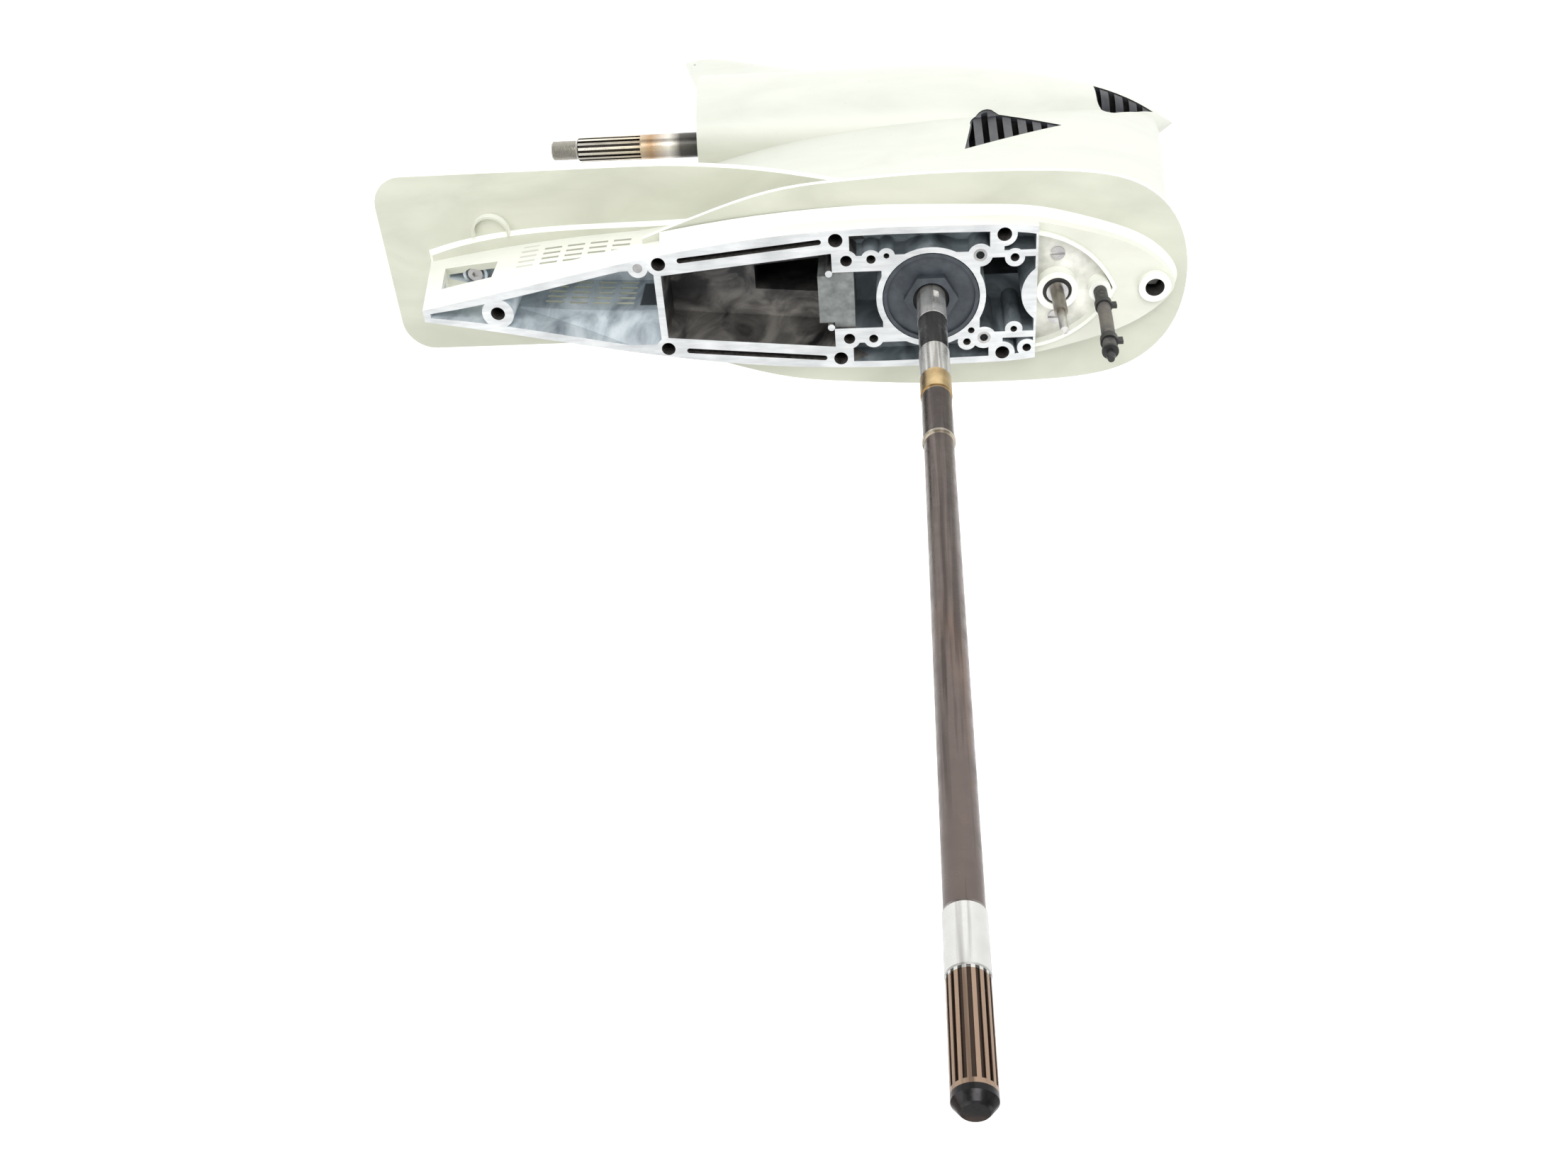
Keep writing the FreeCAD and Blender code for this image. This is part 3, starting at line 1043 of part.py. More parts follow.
def shift_shaft():
    main = post(SHIFT_X, 0, SHIFT_RADIUS, -CAM_TOP, SHIFT_STEP)
    return main.fuse(post(SHIFT_X, 0, SHIFT_TIP_RADIUS, SHIFT_STEP - 1, SHIFT_TOP))


def bearing_carrier():
    """Head with the reverse gear's bearing, slim tube, and a spoked rim that lets exhaust out."""
    stop = -TORPEDO_AFT + NUT_LENGTH
    seat = -GEAR_BEARING_START - GEAR_BEARING_WIDTH
    body = rod(CARRIER_BORE, -CARRIER_HEAD_AFT, -GEAR_BACK - 2 * GAP)
    body = body.fuse([rod(CARRIER_TUBE_OUTER, stop, -CARRIER_HEAD_AFT + 1),
                      ring(CARRIER_BORE, CARRIER_RIM_INNER, stop, -CARRIER_RIM_FRONT)])
    spokes = []
    for index in range(CARRIER_SPOKES):
        spoke = box(stop, -CARRIER_RIM_FRONT, -CARRIER_SPOKE_THICK / 2, CARRIER_SPOKE_THICK / 2,
                    CARRIER_TUBE_OUTER - 2, CARRIER_RIM_INNER + 2)
        spoke.rotate(V(0, 0, 0), ALONG_X, 45 + 360 * index / CARRIER_SPOKES)
        spoke.translate(PROP_AXIS)
        spokes.append(spoke)
    bores = [rod(GEAR_BEARING_OUTER, seat, 0), rod(GEAR_HUB_RADIUS + 1, -GEAR_HUB_END - 1, 0),
             rod(CARRIER_TUBE_INNER, stop, 0)]
    for start, length in ((FRONT_NEEDLE_START, NEEDLE_LENGTH), (REAR_NEEDLE_START, NEEDLE_LENGTH),
                          (PROP_SEAL_START, PROP_SEAL_LENGTH + NUT_LENGTH)):
        bores.append(rod(NEEDLE_OUTER, -start - length, -start))
    return body.fuse(spokes).cut(bores)


# Fittings

def seal_carrier():
    """Dished disc with a raised rim and a hexagonal hub round the drive shaft."""
    dish = -SEAL_CARRIER_DISH
    disc = post(0, 0, SEAL_CARRIER_RADIUS, -SEAL_CARRIER_DEPTH, 0)
    disc = disc.cut(post(0, 0, SEAL_CARRIER_RADIUS - SEAL_CARRIER_RIM, dish, 1))
    hub = hexagon(0, 0, SEAL_HUB_FLATS, dish - 1, SEAL_HUB_HEIGHT)
    spigot = post(0, 0, UPPER_BEARING_OUTER, -WELL_DEPTH - WALL, -SEAL_CARRIER_DEPTH + 1)
    shoulder = SHAFT_SEAL_THICK + SEAL_CARRIER_DISH
    body = disc.fuse([hub, spigot, post(0, 0, WELL_RADIUS - WALL, -WELL_DEPTH, -SEAL_CARRIER_DEPTH + 1)])
    return body.cut([post(0, 0, SHAFT_RADIUS + 1, -FAR, FAR), post(0, 0, SEAL_HUB_BORE, -shoulder, FAR),
                     post(0, 0, SEAL_HUB_BORE + 3, -FAR, -WELL_DEPTH + 1)])


def intake_screens(outside):
    found = {}
    for name, hand in (("port", 1), ("starboard", -1)):
        found[name + "_side_intake_screen"] = intake_screen(outside, side_intake(hand), hand)
        found[name + "_nose_intake_screen"] = intake_screen(outside, nose_intake(hand), hand)
    return found


def route_edges(points):
    """Straight runs joined by tangent arcs, each as large as its two runs allow."""
    corners = [V(*p) for p in points]
    edges = []
    start = corners[0]
    for before, here, after in zip(corners, corners[1:], corners[2:]):
        into = (here - before).normalize()
        out = (after - here).normalize()
        setback = 0.45 * min((here - before).Length, (after - here).Length)
        half_turn = into.getAngle(out) / 2
        print("hose bend radius", round(setback / math.tan(half_turn)))
        first = here - into * setback
        last = here + out * setback
        bisector = (out - into).normalize()
        bow = setback / math.tan(half_turn) * (1 / math.cos(half_turn) - 1)
        edges.append(Part.LineSegment(start, first).toShape())
        edges.append(Part.Arc(first, here + bisector * bow, last).toShape())
        start = last
    edges.append(Part.LineSegment(start, corners[-1]).toShape())
    return edges


def hose():
    path = Part.Wire(route_edges(HOSE_ROUTE))
    direction = V(*HOSE_ROUTE[1]) - V(*HOSE_ROUTE[0])
    section = Part.Wire(Part.makeCircle(HOSE_RADIUS, V(*HOSE_ROUTE[0]), direction))
    return path.makePipeShell([section], True, False)


def route_place(height):
    """Centre and direction of the hose at a height above the mating face."""
    for before, after in zip(HOSE_ROUTE, HOSE_ROUTE[1:]):
        if height <= after[2]:
            break
    share = (height - before[2]) / (after[2] - before[2])
    run = V(*after) - V(*before)
    return V(*before) + run * share, run.normalize()


def hose_ties():
    ties = []
    for height in TIE_HEIGHTS:
        centre, direction = route_place(height)
        band = Part.makeCylinder(HOSE_RADIUS + TIE_THICK, TIE_WIDTH, centre, direction)
        ear = box(HOSE_RADIUS, HOSE_RADIUS + TIE_EAR, -TIE_THICK, TIE_THICK, 0, TIE_WIDTH)
        ear.translate(centre)
        start = centre - direction * TIE_WIDTH
        core = Part.makeCylinder(HOSE_RADIUS + GAP / 3, 3 * TIE_WIDTH, start, direction)
        ties.append(band.fuse(ear).cut(core))
    return Part.makeCompound(ties)


def hose_nipple():
    end = V(*HOSE_ROUTE[-1])
    direction = (end - V(*HOSE_ROUTE[-2])).normalize()
    flange = Part.makeCylinder(HOSE_RADIUS + 1, TIE_THICK * 2, end, direction)
    stem = Part.makeCylinder(NIPPLE_RADIUS, NIPPLE_LENGTH, end, direction)
    barb = Part.makeCone(NIPPLE_RADIUS + 1.2, NIPPLE_RADIUS - 0.4, NIPPLE_LENGTH / 3,
                         end + direction * (NIPPLE_LENGTH * 2 / 3), direction)
    return flange.fuse([stem, barb])


def divider_block():
    """Stepped block that closes the front of the exhaust chamber."""
    bottom = -DIVIDER_TOP - DIVIDER_HEIGHT
    aft = box(-DIVIDER_AFT, -DIVIDER_STEP, -DIVIDER_AFT_HALF, DIVIDER_AFT_HALF, bottom, -DIVIDER_TOP)
    front = box(-DIVIDER_STEP, -DIVIDER_FRONT, -DIVIDER_FRONT_HALF, DIVIDER_FRONT_HALF, bottom, -DIVIDER_TOP)
    return aft.fuse(front)


def nose_plugs():
    return Part.makeCompound([plug(V(x, y, -NOSE_RECESS - NOSE_PLUG_DEPTH), ALONG_Z, NOSE_PLUG_DEPTH + 1,
                                   NOSE_PLUG_RADIUS) for x, y in NOSE_PLUG_PLACES])


def front_bolt():
    floor = -FRONT_HOLE_DEPTH
    head = hexagon(FRONT_HOLE_X, 0, FRONT_BOLT_FLATS, floor, floor + FRONT_BOLT_HEAD)
    return head.fuse(post(FRONT_HOLE_X, 0, FRONT_BOLT_SHANK, floor - FRONT_BOLT_LENGTH, floor + 1))


def face_screw():
    shank = post(FACE_SCREW_X, FACE_SCREW_Y, FACE_SCREW_RADIUS, -FACE_SCREW_LENGTH, 0)
    dome = Part.makeSphere(FACE_SCREW_RADIUS, V(FACE_SCREW_X, FACE_SCREW_Y, -FACE_SCREW_RADIUS / 3))
    return shank.common(dome.fuse(post(FACE_SCREW_X, FACE_SCREW_Y, FACE_SCREW_RADIUS, -FACE_SCREW_LENGTH,
                                       -FACE_SCREW_RADIUS / 3)))


def dowels():
    return Part.makeCompound([collar(x, y, DOWEL_OUTER, DOWEL_INNER, -DOWEL_LENGTH, 0)
                              for x, y in DOWEL_PLACES])


def trim_tab():
    """Sacrificial tab under the plate: a round pad with a small fin."""
    pad = post(TAB_X, 0, TAB_BASE_RADIUS, -PLATE_UNDER - TAB_BASE_THICK, -PLATE_UNDER)
    root = lens_wire(TAB_AFT, -TAB_FRONT, TAB_HALF, -PLATE_UNDER - TAB_BASE_THICK + 1)
    tip = lens_wire(TAB_AFT, -TAB_FRONT - 10, TAB_HALF / 2, -PLATE_UNDER - TAB_DROP)
    fin = Part.makeLoft([root, tip], True, True)
    return pad.fuse(fin).cut(post(TAB_X, 0, TAB_BOLT_RADIUS, -PLATE_UNDER - 2 * TAB_BASE_THICK, 0))


def trim_tab_bolt():
    top = -REAR_POCKET_DEPTH + TAB_BOSS_HEIGHT
    head = post(TAB_X, 0, TAB_BOLT_HEAD_RADIUS, top - TAB_BOLT_HEAD, top)
    socket = hexagon(TAB_X, 0, TAB_BOLT_SOCKET, top - TAB_BOLT_HEAD / 2, top + 1)
    shank = post(TAB_X, 0, TAB_BOLT_RADIUS, -PLATE_UNDER - 2 * TAB_BASE_THICK, top - TAB_BOLT_HEAD)
    return head.fuse(shank).cut(socket)


def build():
    outside = casting_outside()
    parts = {"gearcase_casting": make_casting(outside)}
    parts.update(intake_screens(outside))

    # Drive shaft line
    parts["drive_shaft"] = drive_shaft()
    parts["drive_shaft_collar"] = collar(0, 0, SHAFT_RADIUS, COLLAR_GROOVE_RADIUS,
                                         UPPER_JOURNAL_TOP, COLLAR_TOP)
    cup, cone = taper_bearing(SHAFT_RADIUS, UPPER_BEARING_OUTER, UPPER_BEARING_WIDTH)
    foot = V(0, 0, -UPPER_BEARING_TOP - UPPER_BEARING_WIDTH)
    parts["drive_shaft_bearing_cup"] = cup.translated(foot)
    parts["drive_shaft_bearing_cone"] = cone.translated(foot)
    parts["bearing_lock_nut"] = collar(0, 0, UPPER_BEARING_OUTER + 1, LOCK_NUT_BORE, -UPPER_BEARING_TOP,
                                       -UPPER_BEARING_TOP + LOCK_NUT_THICK)
    parts["seal_carrier"] = seal_carrier()
    parts["drive_shaft_seal"] = collar(0, 0, SEAL_HUB_BORE, SHAFT_RADIUS + RUNNING_FIT,
                                       -SHAFT_SEAL_THICK - SEAL_CARRIER_DISH, -SEAL_CARRIER_DISH)
    parts["pinion_bearing"] = collar(0, 0, PINION_BEARING_OUTER, SHAFT_RADIUS + RUNNING_FIT,
                                     -PINION_BEARING_BOTTOM, -PINION_BEARING_TOP)
    parts["pinion_gear"] = pinion()
    seat = -SHAFT_DROP + root_corners(PINION_PITCH_RADIUS, GEAR_PITCH_RADIUS)[1][1]
    parts["pinion_nut"] = hexagon(0, 0, PINION_NUT_FLATS, seat - PINION_NUT_THICK, seat).cut(
        post(0, 0, PINION_THREAD_RADIUS, -FAR, 0))

    # Gears and their bearings
    cup, cone = taper_bearing(GEAR_HUB_RADIUS, GEAR_BEARING_OUTER, GEAR_BEARING_WIDTH)
    start = V(0, 0, GEAR_BEARING_START)
    parts["forward_gear"] = laid_forward(side_gear(BUSH_OUTER, 180))
    parts["forward_gear_bush"] = ring(BUSH_OUTER, PROP_SHAFT_RADIUS + RUNNING_FIT, GEAR_INNER_FACE + 1,
                                      GEAR_HUB_END)
    parts["forward_bearing_cup"] = laid_forward(cup.translated(start))
    parts["forward_bearing_cone"] = laid_forward(cone.translated(start))
    parts["reverse_gear"] = laid_aft(side_gear(BUSH_OUTER, 0))
    parts["reverse_bearing_cup"] = laid_aft(cup.translated(start))
    parts["reverse_bearing_cone"] = laid_aft(cone.translated(start))

    # Propeller shaft line
    parts["propeller_shaft"] = propeller_shaft()
    parts["bearing_carrier"] = bearing_carrier()
    parts["carrier_ring_nut"] = ring(NUT_BORE, CARRIER_RIM_INNER, -TORPEDO_AFT, -TORPEDO_AFT + NUT_LENGTH)
    for name, first, length in (("front_needle_bearing", FRONT_NEEDLE_START, NEEDLE_LENGTH),
                                ("rear_needle_bearing", REAR_NEEDLE_START, NEEDLE_LENGTH),
                                ("propeller_shaft_seals", PROP_SEAL_START, PROP_SEAL_LENGTH)):
        parts[name] = ring(NEEDLE_OUTER, PROP_SHAFT_RADIUS + RUNNING_FIT, -first - length, -first)

    # Shift linkage
    parts["clutch_dog"] = clutch_dog()
    spring_inner = DOG_RADIUS - SPRING_THICK
    pin_half = math.sqrt(spring_inner ** 2 - CROSS_PIN_RADIUS ** 2)
    parts["dog_cross_pin"] = Part.makeCylinder(CROSS_PIN_RADIUS, 2 * pin_half,
                                               V(DOG_TRAVEL, -pin_half, -SHAFT_DROP), ALONG_Y)
    parts["dog_pin_spring"] = ring(DOG_RADIUS, spring_inner, DOG_TRAVEL - SPRING_WIDTH / 2,
                                   DOG_TRAVEL + SPRING_WIDTH / 2)
    parts["shift_plunger"] = shift_plunger()
    parts["shift_follower"] = shift_follower()
    parts["shift_cam"] = shift_cam()
    parts["shift_shaft"] = shift_shaft()
    parts["shift_shaft_bush"] = collar(SHIFT_X, 0, SHIFT_BUSH_RADIUS, SHIFT_RADIUS + RUNNING_FIT,
                                       -SHIFT_BUSH_BOTTOM, -SHIFT_BUSH_TOP)
    parts["shift_shaft_seal"] = collar(SHIFT_X, 0, SHIFT_SEAL_RADIUS, SHIFT_BUSH_RADIUS,
                                       -NOSE_RECESS, -SHIFT_COLLAR_TOP - 2)

    # Fittings
    parts["speedometer_hose"] = hose()
    parts["hose_ties"] = hose_ties()
    parts["hose_nipple"] = hose_nipple()
    parts["divider_block"] = divider_block()
    parts["nose_plugs"] = nose_plugs()
    parts["front_bolt"] = front_bolt()
    parts["face_screw"] = face_screw()
    parts["locating_dowels"] = dowels()
    parts["trim_tab"] = trim_tab()
    parts["trim_tab_bolt"] = trim_tab_bolt()
    drain, side = drain_place()
    parts["drain_plug"] = plug(drain, side, TORPEDO_RADIUS - GEAR_CHAMBER_RADIUS - 2)
    parts["vent_plug"] = plug(V(VENT_X, -SHAFT_BORE, -VENT_DROP), -ALONG_Y, STRUT_WAIST_HALF - SHAFT_BORE)
    return parts


os.makedirs("parts", exist_ok=True)
for name, shape in build().items():
    shape.exportStep(f"parts/{name}.step")
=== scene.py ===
import json
import math
import bpy
from mathutils import Matrix, Vector


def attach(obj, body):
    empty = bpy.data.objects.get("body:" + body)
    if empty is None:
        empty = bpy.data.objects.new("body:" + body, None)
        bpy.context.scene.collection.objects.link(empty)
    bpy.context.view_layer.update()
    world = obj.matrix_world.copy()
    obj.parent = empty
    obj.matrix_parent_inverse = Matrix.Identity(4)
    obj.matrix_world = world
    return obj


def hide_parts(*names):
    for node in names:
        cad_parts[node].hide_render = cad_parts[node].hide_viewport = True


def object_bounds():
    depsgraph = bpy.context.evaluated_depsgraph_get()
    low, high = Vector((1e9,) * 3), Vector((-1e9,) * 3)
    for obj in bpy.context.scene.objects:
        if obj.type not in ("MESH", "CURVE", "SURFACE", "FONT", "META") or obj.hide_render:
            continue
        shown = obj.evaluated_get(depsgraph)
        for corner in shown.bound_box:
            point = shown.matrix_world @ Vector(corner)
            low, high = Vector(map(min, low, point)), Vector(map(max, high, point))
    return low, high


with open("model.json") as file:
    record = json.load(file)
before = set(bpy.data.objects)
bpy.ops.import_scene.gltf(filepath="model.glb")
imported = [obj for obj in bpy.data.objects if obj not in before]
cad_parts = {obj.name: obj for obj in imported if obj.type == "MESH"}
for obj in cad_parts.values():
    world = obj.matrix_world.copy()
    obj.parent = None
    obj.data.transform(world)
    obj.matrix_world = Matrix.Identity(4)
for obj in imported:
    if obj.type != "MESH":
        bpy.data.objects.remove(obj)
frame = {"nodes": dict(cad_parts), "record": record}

CAD_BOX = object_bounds()
MM = 0.001
NODES = frame["nodes"]


# Camera, solved from the photograph

CAMERA_PLACE = (-0.0243, 0.6102, 1.1712)
CAMERA_RIGHT = (0.9965751, -0.0669434, -0.0485462)
CAMERA_UP = (0.0229287, 0.7877420, -0.6155785)
CAMERA_BACK = (0.0794508, 0.6123570, 0.7865789)
CAMERA_LENS = 35.805
SENSOR_WIDTH = 36.0
CAMERA_REACH = 40.0


def make_camera():
    data = bpy.data.cameras.new("camera")
    data.sensor_width = SENSOR_WIDTH
    data.lens = CAMERA_LENS
    data.clip_end = CAMERA_REACH
    camera = bpy.data.objects.new("camera", data)
    turn = Matrix((CAMERA_RIGHT, CAMERA_UP, CAMERA_BACK)).transposed()
    camera.matrix_world = Matrix.Translation(CAMERA_PLACE) @ turn.to_4x4()
    bpy.context.scene.collection.objects.link(camera)
    bpy.context.scene.camera = camera


# Procedural materials, with places in metres and colours in linear light

EDGE_BLUR = 0.0006
STRIPE_BLUR = 0.0004


class Look:
    """A material built from nodes, in the object's own coordinates, which are metres."""

    def __init__(self, name, metallic=0.0, rough=0.5):
        self.material = bpy.data.materials.new(name)
        self.material.use_nodes = True
        self.tree = self.material.node_tree
        self.shader = self.tree.nodes["Principled BSDF"]
        self.shader.inputs["Metallic"].default_value = metallic
        self.shader.inputs["Roughness"].default_value = rough
        self.place = self.tree.nodes.new("ShaderNodeTexCoord").outputs["Object"]

    def add(self, kind, **values):
        node = self.tree.nodes.new(kind)
        for name, value in values.items():
            setattr(node, name, value)
        return node

    def link(self, source, target):
        self.tree.links.new(source, target)

    def noise(self, scale, detail=4.0, stretch=(1, 1, 1), distort=0.0):
        source = self.place
        if stretch != (1, 1, 1):
            mapping = self.add("ShaderNodeMapping")
            mapping.inputs["Scale"].default_value = stretch
            self.link(source, mapping.inputs["Vector"])
            source = mapping.outputs["Vector"]
        node = self.add("ShaderNodeTexNoise")
        node.inputs["Scale"].default_value = scale
        node.inputs["Detail"].default_value = detail
        node.inputs["Roughness"].default_value = 0.55
        node.inputs["Distortion"].default_value = distort
        self.link(source, node.inputs["Vector"])
        return node.outputs["Fac"]

    def axis(self, letter):
        node = self.add("ShaderNodeSeparateXYZ")
        self.link(self.place, node.inputs["Vector"])
        return node.outputs[letter]

    def upward(self):
        """How far the surface faces up, from -1 to 1."""
        geometry = self.add("ShaderNodeNewGeometry")
        split = self.add("ShaderNodeSeparateXYZ")
        self.link(geometry.outputs["Normal"], split.inputs["Vector"])
        return split.outputs["Z"]

    def remap(self, source, low, high, to_low=0.0, to_high=1.0):
        node = self.add("ShaderNodeMapRange")
        for name, value in (("From Min", low), ("From Max", high), ("To Min", to_low), ("To Max", to_high)):
            node.inputs[name].default_value = value
        self.link(source, node.inputs["Value"])
        return node.outputs["Result"]

    def ramp(self, source, stops, step=False):
        node = self.add("ShaderNodeValToRGB")
        if step:
            node.color_ramp.interpolation = "CONSTANT"
        elements = node.color_ramp.elements
        while len(elements) < len(stops):
            elements.new(0.5)
        for element, (place, colour) in zip(elements, stops):
            element.position = place
            element.color = (*colour, 1.0)
        self.link(source, node.inputs["Fac"])
        return node.outputs["Color"]

    def blend(self, amount, first, second, mode="MIX"):
        """Mixes colours. Each may be a socket or a plain colour."""
        node = self.add("ShaderNodeMix", data_type="RGBA", blend_type=mode)
        for value, socket in ((amount, node.inputs[0]), (first, node.inputs[6]), (second, node.inputs[7])):
            if isinstance(value, bpy.types.NodeSocket):
                self.link(value, socket)
            elif isinstance(value, tuple):
                socket.default_value = (*value, 1.0)
            else:
                socket.default_value = value
        return node.outputs[2]

    def times(self, first, second):
        node = self.add("ShaderNodeMath", operation="MULTIPLY")
        self.link(first, node.inputs[0])
        if isinstance(second, bpy.types.NodeSocket):
            self.link(second, node.inputs[1])
        else:
            node.inputs[1].default_value = second
        return node.outputs["Value"]

    def within(self, letter, low, high):
        """1 between two places along an axis, 0 outside, with a soft edge."""
        source = self.axis(letter)
        rise = self.remap(source, low - EDGE_BLUR, low + EDGE_BLUR)
        fall = self.remap(source, high - EDGE_BLUR, high + EDGE_BLUR, 1.0, 0.0)
        return self.times(rise, fall)

    def box(self, **spans):
        """1 inside a box given by its span along each axis."""
        inside = [self.within(letter, *span) for letter, span in spans.items()]
        result = inside[0]
        for part in inside[1:]:
            result = self.times(result, part)
        return result

    def stripes(self, letter, start, pitch, width):
        """1 in every stripe of the given width, counted from a start along an axis."""
        shifted = self.add("ShaderNodeMath", operation="ADD")
        self.link(self.axis(letter), shifted.inputs[0])
        shifted.inputs[1].default_value = -start
        turn = self.add("ShaderNodeMath", operation="FLOORED_MODULO")
        self.link(shifted.outputs["Value"], turn.inputs[0])
        turn.inputs[1].default_value = pitch
        return self.remap(turn.outputs["Value"], width, width + STRIPE_BLUR, 1.0, 0.0)

    def radius(self, shift, flatten):
        """Distance from an axis: the point is shifted onto it, and flatten is 0 along it."""
        source = self.place
        for operation, value in (("ADD", shift), ("MULTIPLY", flatten)):
            node = self.add("ShaderNodeVectorMath", operation=operation)
            node.inputs[1].default_value = value
            self.link(source, node.inputs[0])
            source = node.outputs["Vector"]
        size = self.add("ShaderNodeVectorMath", operation="LENGTH")
        self.link(source, size.inputs[0])
        return size.outputs["Value"]

    def wave(self, source, pitch):
        """A ripple of one turn per pitch along a coordinate."""
        turned = self.times(source, 2 * math.pi / pitch)
        node = self.add("ShaderNodeMath", operation="SINE")
        self.link(turned, node.inputs[0])
        return node.outputs["Value"]

    def streaks(self):
        """Dark streaks along a shaft that stands upright: stains together with painted shade."""
        streak = self.noise(130.0, 3.0, (1, 1, 0.03), distort=0.3)
        return self.remap(streak, 0.50, 0.62, 0.0, 0.75)

    def bump(self, height, distance):
        node = self.add("ShaderNodeBump")
        node.inputs["Strength"].default_value = 1.0
        node.inputs["Distance"].default_value = distance
        self.link(height, node.inputs["Height"])
        self.link(node.outputs["Normal"], self.shader.inputs["Normal"])

    def colour(self, source):
        self.link(source, self.shader.inputs["Base Color"])

    def rough(self, source, low, high):
        self.link(self.remap(source, 0.3, 0.7, low, high), self.shader.inputs["Roughness"])


def share(value, span):
    """Place of a value within a span, as a share of it."""
    low, high = span
    return (value - low) / (high - low)


def metal_look(name, dark, light, rough, bump=0.00004):
    look = Look(name, metallic=1.0, rough=rough)
    grain = look.noise(60.0, 5.0)
    look.colour(look.ramp(grain, [(0.35, dark), (0.65, light)]))
    look.rough(look.noise(30.0, 3.0), rough * 0.8, rough * 1.25)
    look.bump(grain, bump)
    return look.material


def dull_look(name, dark, light, rough, scale=80.0):
    look = Look(name, rough=rough)
    grain = look.noise(scale, 6.0)
    look.colour(look.ramp(grain, [(0.3, dark), (0.7, light)]))
    look.rough(look.noise(scale / 3, 3.0), rough * 0.85, rough * 1.15)
    look.bump(grain, 0.00008)
    return look.material


# Spans in metres for the painted shade: its fade under the face on the tops, its growth low down, and the
# closed slits that get shade lines.
FACE_FADE = (-0.010, -0.004)
LOWER_SHADE = (-0.17, -0.10)
CLOSED_SLITS = {"X": (-0.356, -0.341), "Z": (-0.0875, -0.0472)}
SLIT_START = -0.0507
SLIT_PITCH = 0.0096
SLIT_WIDTH = 0.0035


def paint_look():
    """Aged white paint, smeared and specked: painted shade low down, beige dirt with painted shade on the
    plates' tops, and painted shade lines in the closed slits.
    """
    look = Look("aged_white_paint_and_painted_shade", rough=0.32)
    smear = look.noise(9.0, 6.0, (1, 2.5, 2.5), distort=0.6)
    side = look.ramp(smear, [(0.3, (0.80, 0.81, 0.74)), (0.6, (0.87, 0.88, 0.81))])
    # Upward-facing tops below the face: beige dirt with painted shade.
    dirty_shaded_top = look.ramp(smear, [(0.3, (0.45, 0.46, 0.38)), (0.7, (0.55, 0.56, 0.47))])
    # Painted shade: the sides grow darker low down.
    low = look.remap(look.axis("Z"), *LOWER_SHADE, 1.0, 0.0)
    side = look.blend(low, side, look.blend(1.0, side, (0.76, 0.77, 0.755), "MULTIPLY"))
    below_face = look.remap(look.axis("Z"), *FACE_FADE, 1.0, 0.0)
    facing = look.times(look.remap(look.upward(), 0.80, 0.99), below_face)
    colour = look.blend(facing, side, dirty_shaded_top)
    speck = look.ramp(look.noise(420.0, 2.0), [(0.74, (0, 0, 0)), (0.78, (1, 1, 1))])
    colour = look.blend(look.times(speck, 0.35), colour, (0.25, 0.21, 0.15))
    # Painted shade: darker lines along the closed slits, in place of their shallow shadows.
    slit_shade = look.times(look.box(**CLOSED_SLITS), look.stripes("Z", SLIT_START, SLIT_PITCH, SLIT_WIDTH))
    look.colour(look.blend(look.times(slit_shade, 0.45), colour, (0.36, 0.35, 0.30)))
    look.rough(smear, 0.28, 0.42)
    look.bump(look.noise(700.0, 2.0), 0.00002)
    return look.material


def machined_look():
    """Milled face: bright, with fine lines and faint clouds."""
    look = Look("machined_aluminium", metallic=0.75, rough=0.38)
    sweep = look.noise(240.0, 3.0, (0.15, 1, 1))
    cloud = look.noise(30.0, 4.0)
    base = look.ramp(cloud, [(0.3, (0.62, 0.64, 0.65)), (0.7, (0.80, 0.82, 0.82))])
    lines = look.ramp(sweep, [(0.4, (0.45, 0.46, 0.47)), (0.6, (0.85, 0.86, 0.86))])
    look.colour(look.blend(0.25, base, lines))
    look.rough(cloud, 0.32, 0.48)
    look.bump(sweep, 0.00002)
    return look.material


# Spans in metres: the painted shade by height, the ashen streaks with painted light across to the starboard
# wall, and the recessed panel with painted shade.
CHAMBER_DEPTH = (-0.11, -0.004)
ASH_AND_LIGHT_WALL = (-0.008, -0.030)
PANEL_SHADE = {"X": (-0.252, -0.229), "Z": (-0.086, -0.045), "Y": (-0.030, -0.014)}


def chamber_look(name, deep, mid, bright, metallic=0.6, shade=0.85, ash_and_light=0.0):
    """Cast aluminium walls: rough, with pale streaks, painted shade further down, ashen streaks with painted
    light on the starboard wall, and a painted shade patch on a recessed panel.
    """
    look = Look(name, metallic=metallic, rough=0.55)
    streak = look.noise(26.0, 7.0, (1, 1, 0.5), distort=1.2)
    tone = look.ramp(streak, [(0.25, deep), (0.5, mid), (0.75, bright)])
    # Painted shade: darker further down, by the share given as shade.
    depth_shade = look.remap(look.axis("Z"), *CHAMBER_DEPTH, shade, 0.0)
    tone = look.blend(depth_shade, tone, deep)
    # Ashen streaks together with painted light on the starboard wall.
    if ash_and_light:
        ashen_and_lit = look.remap(streak, 0.34, 0.60, 0.0, ash_and_light)
        starboard = look.remap(look.axis("Y"), *ASH_AND_LIGHT_WALL)
        tone = look.blend(look.times(starboard, ashen_and_lit), tone, (0.28, 0.265, 0.24))
    # Painted shade: a dark patch on the recessed panel.
    look.colour(look.blend(look.box(**PANEL_SHADE), tone, (0.055, 0.06, 0.066)))
    look.rough(streak, 0.42, 0.7)
    look.bump(look.noise(480.0, 5.0), 0.00025)
    return look.material


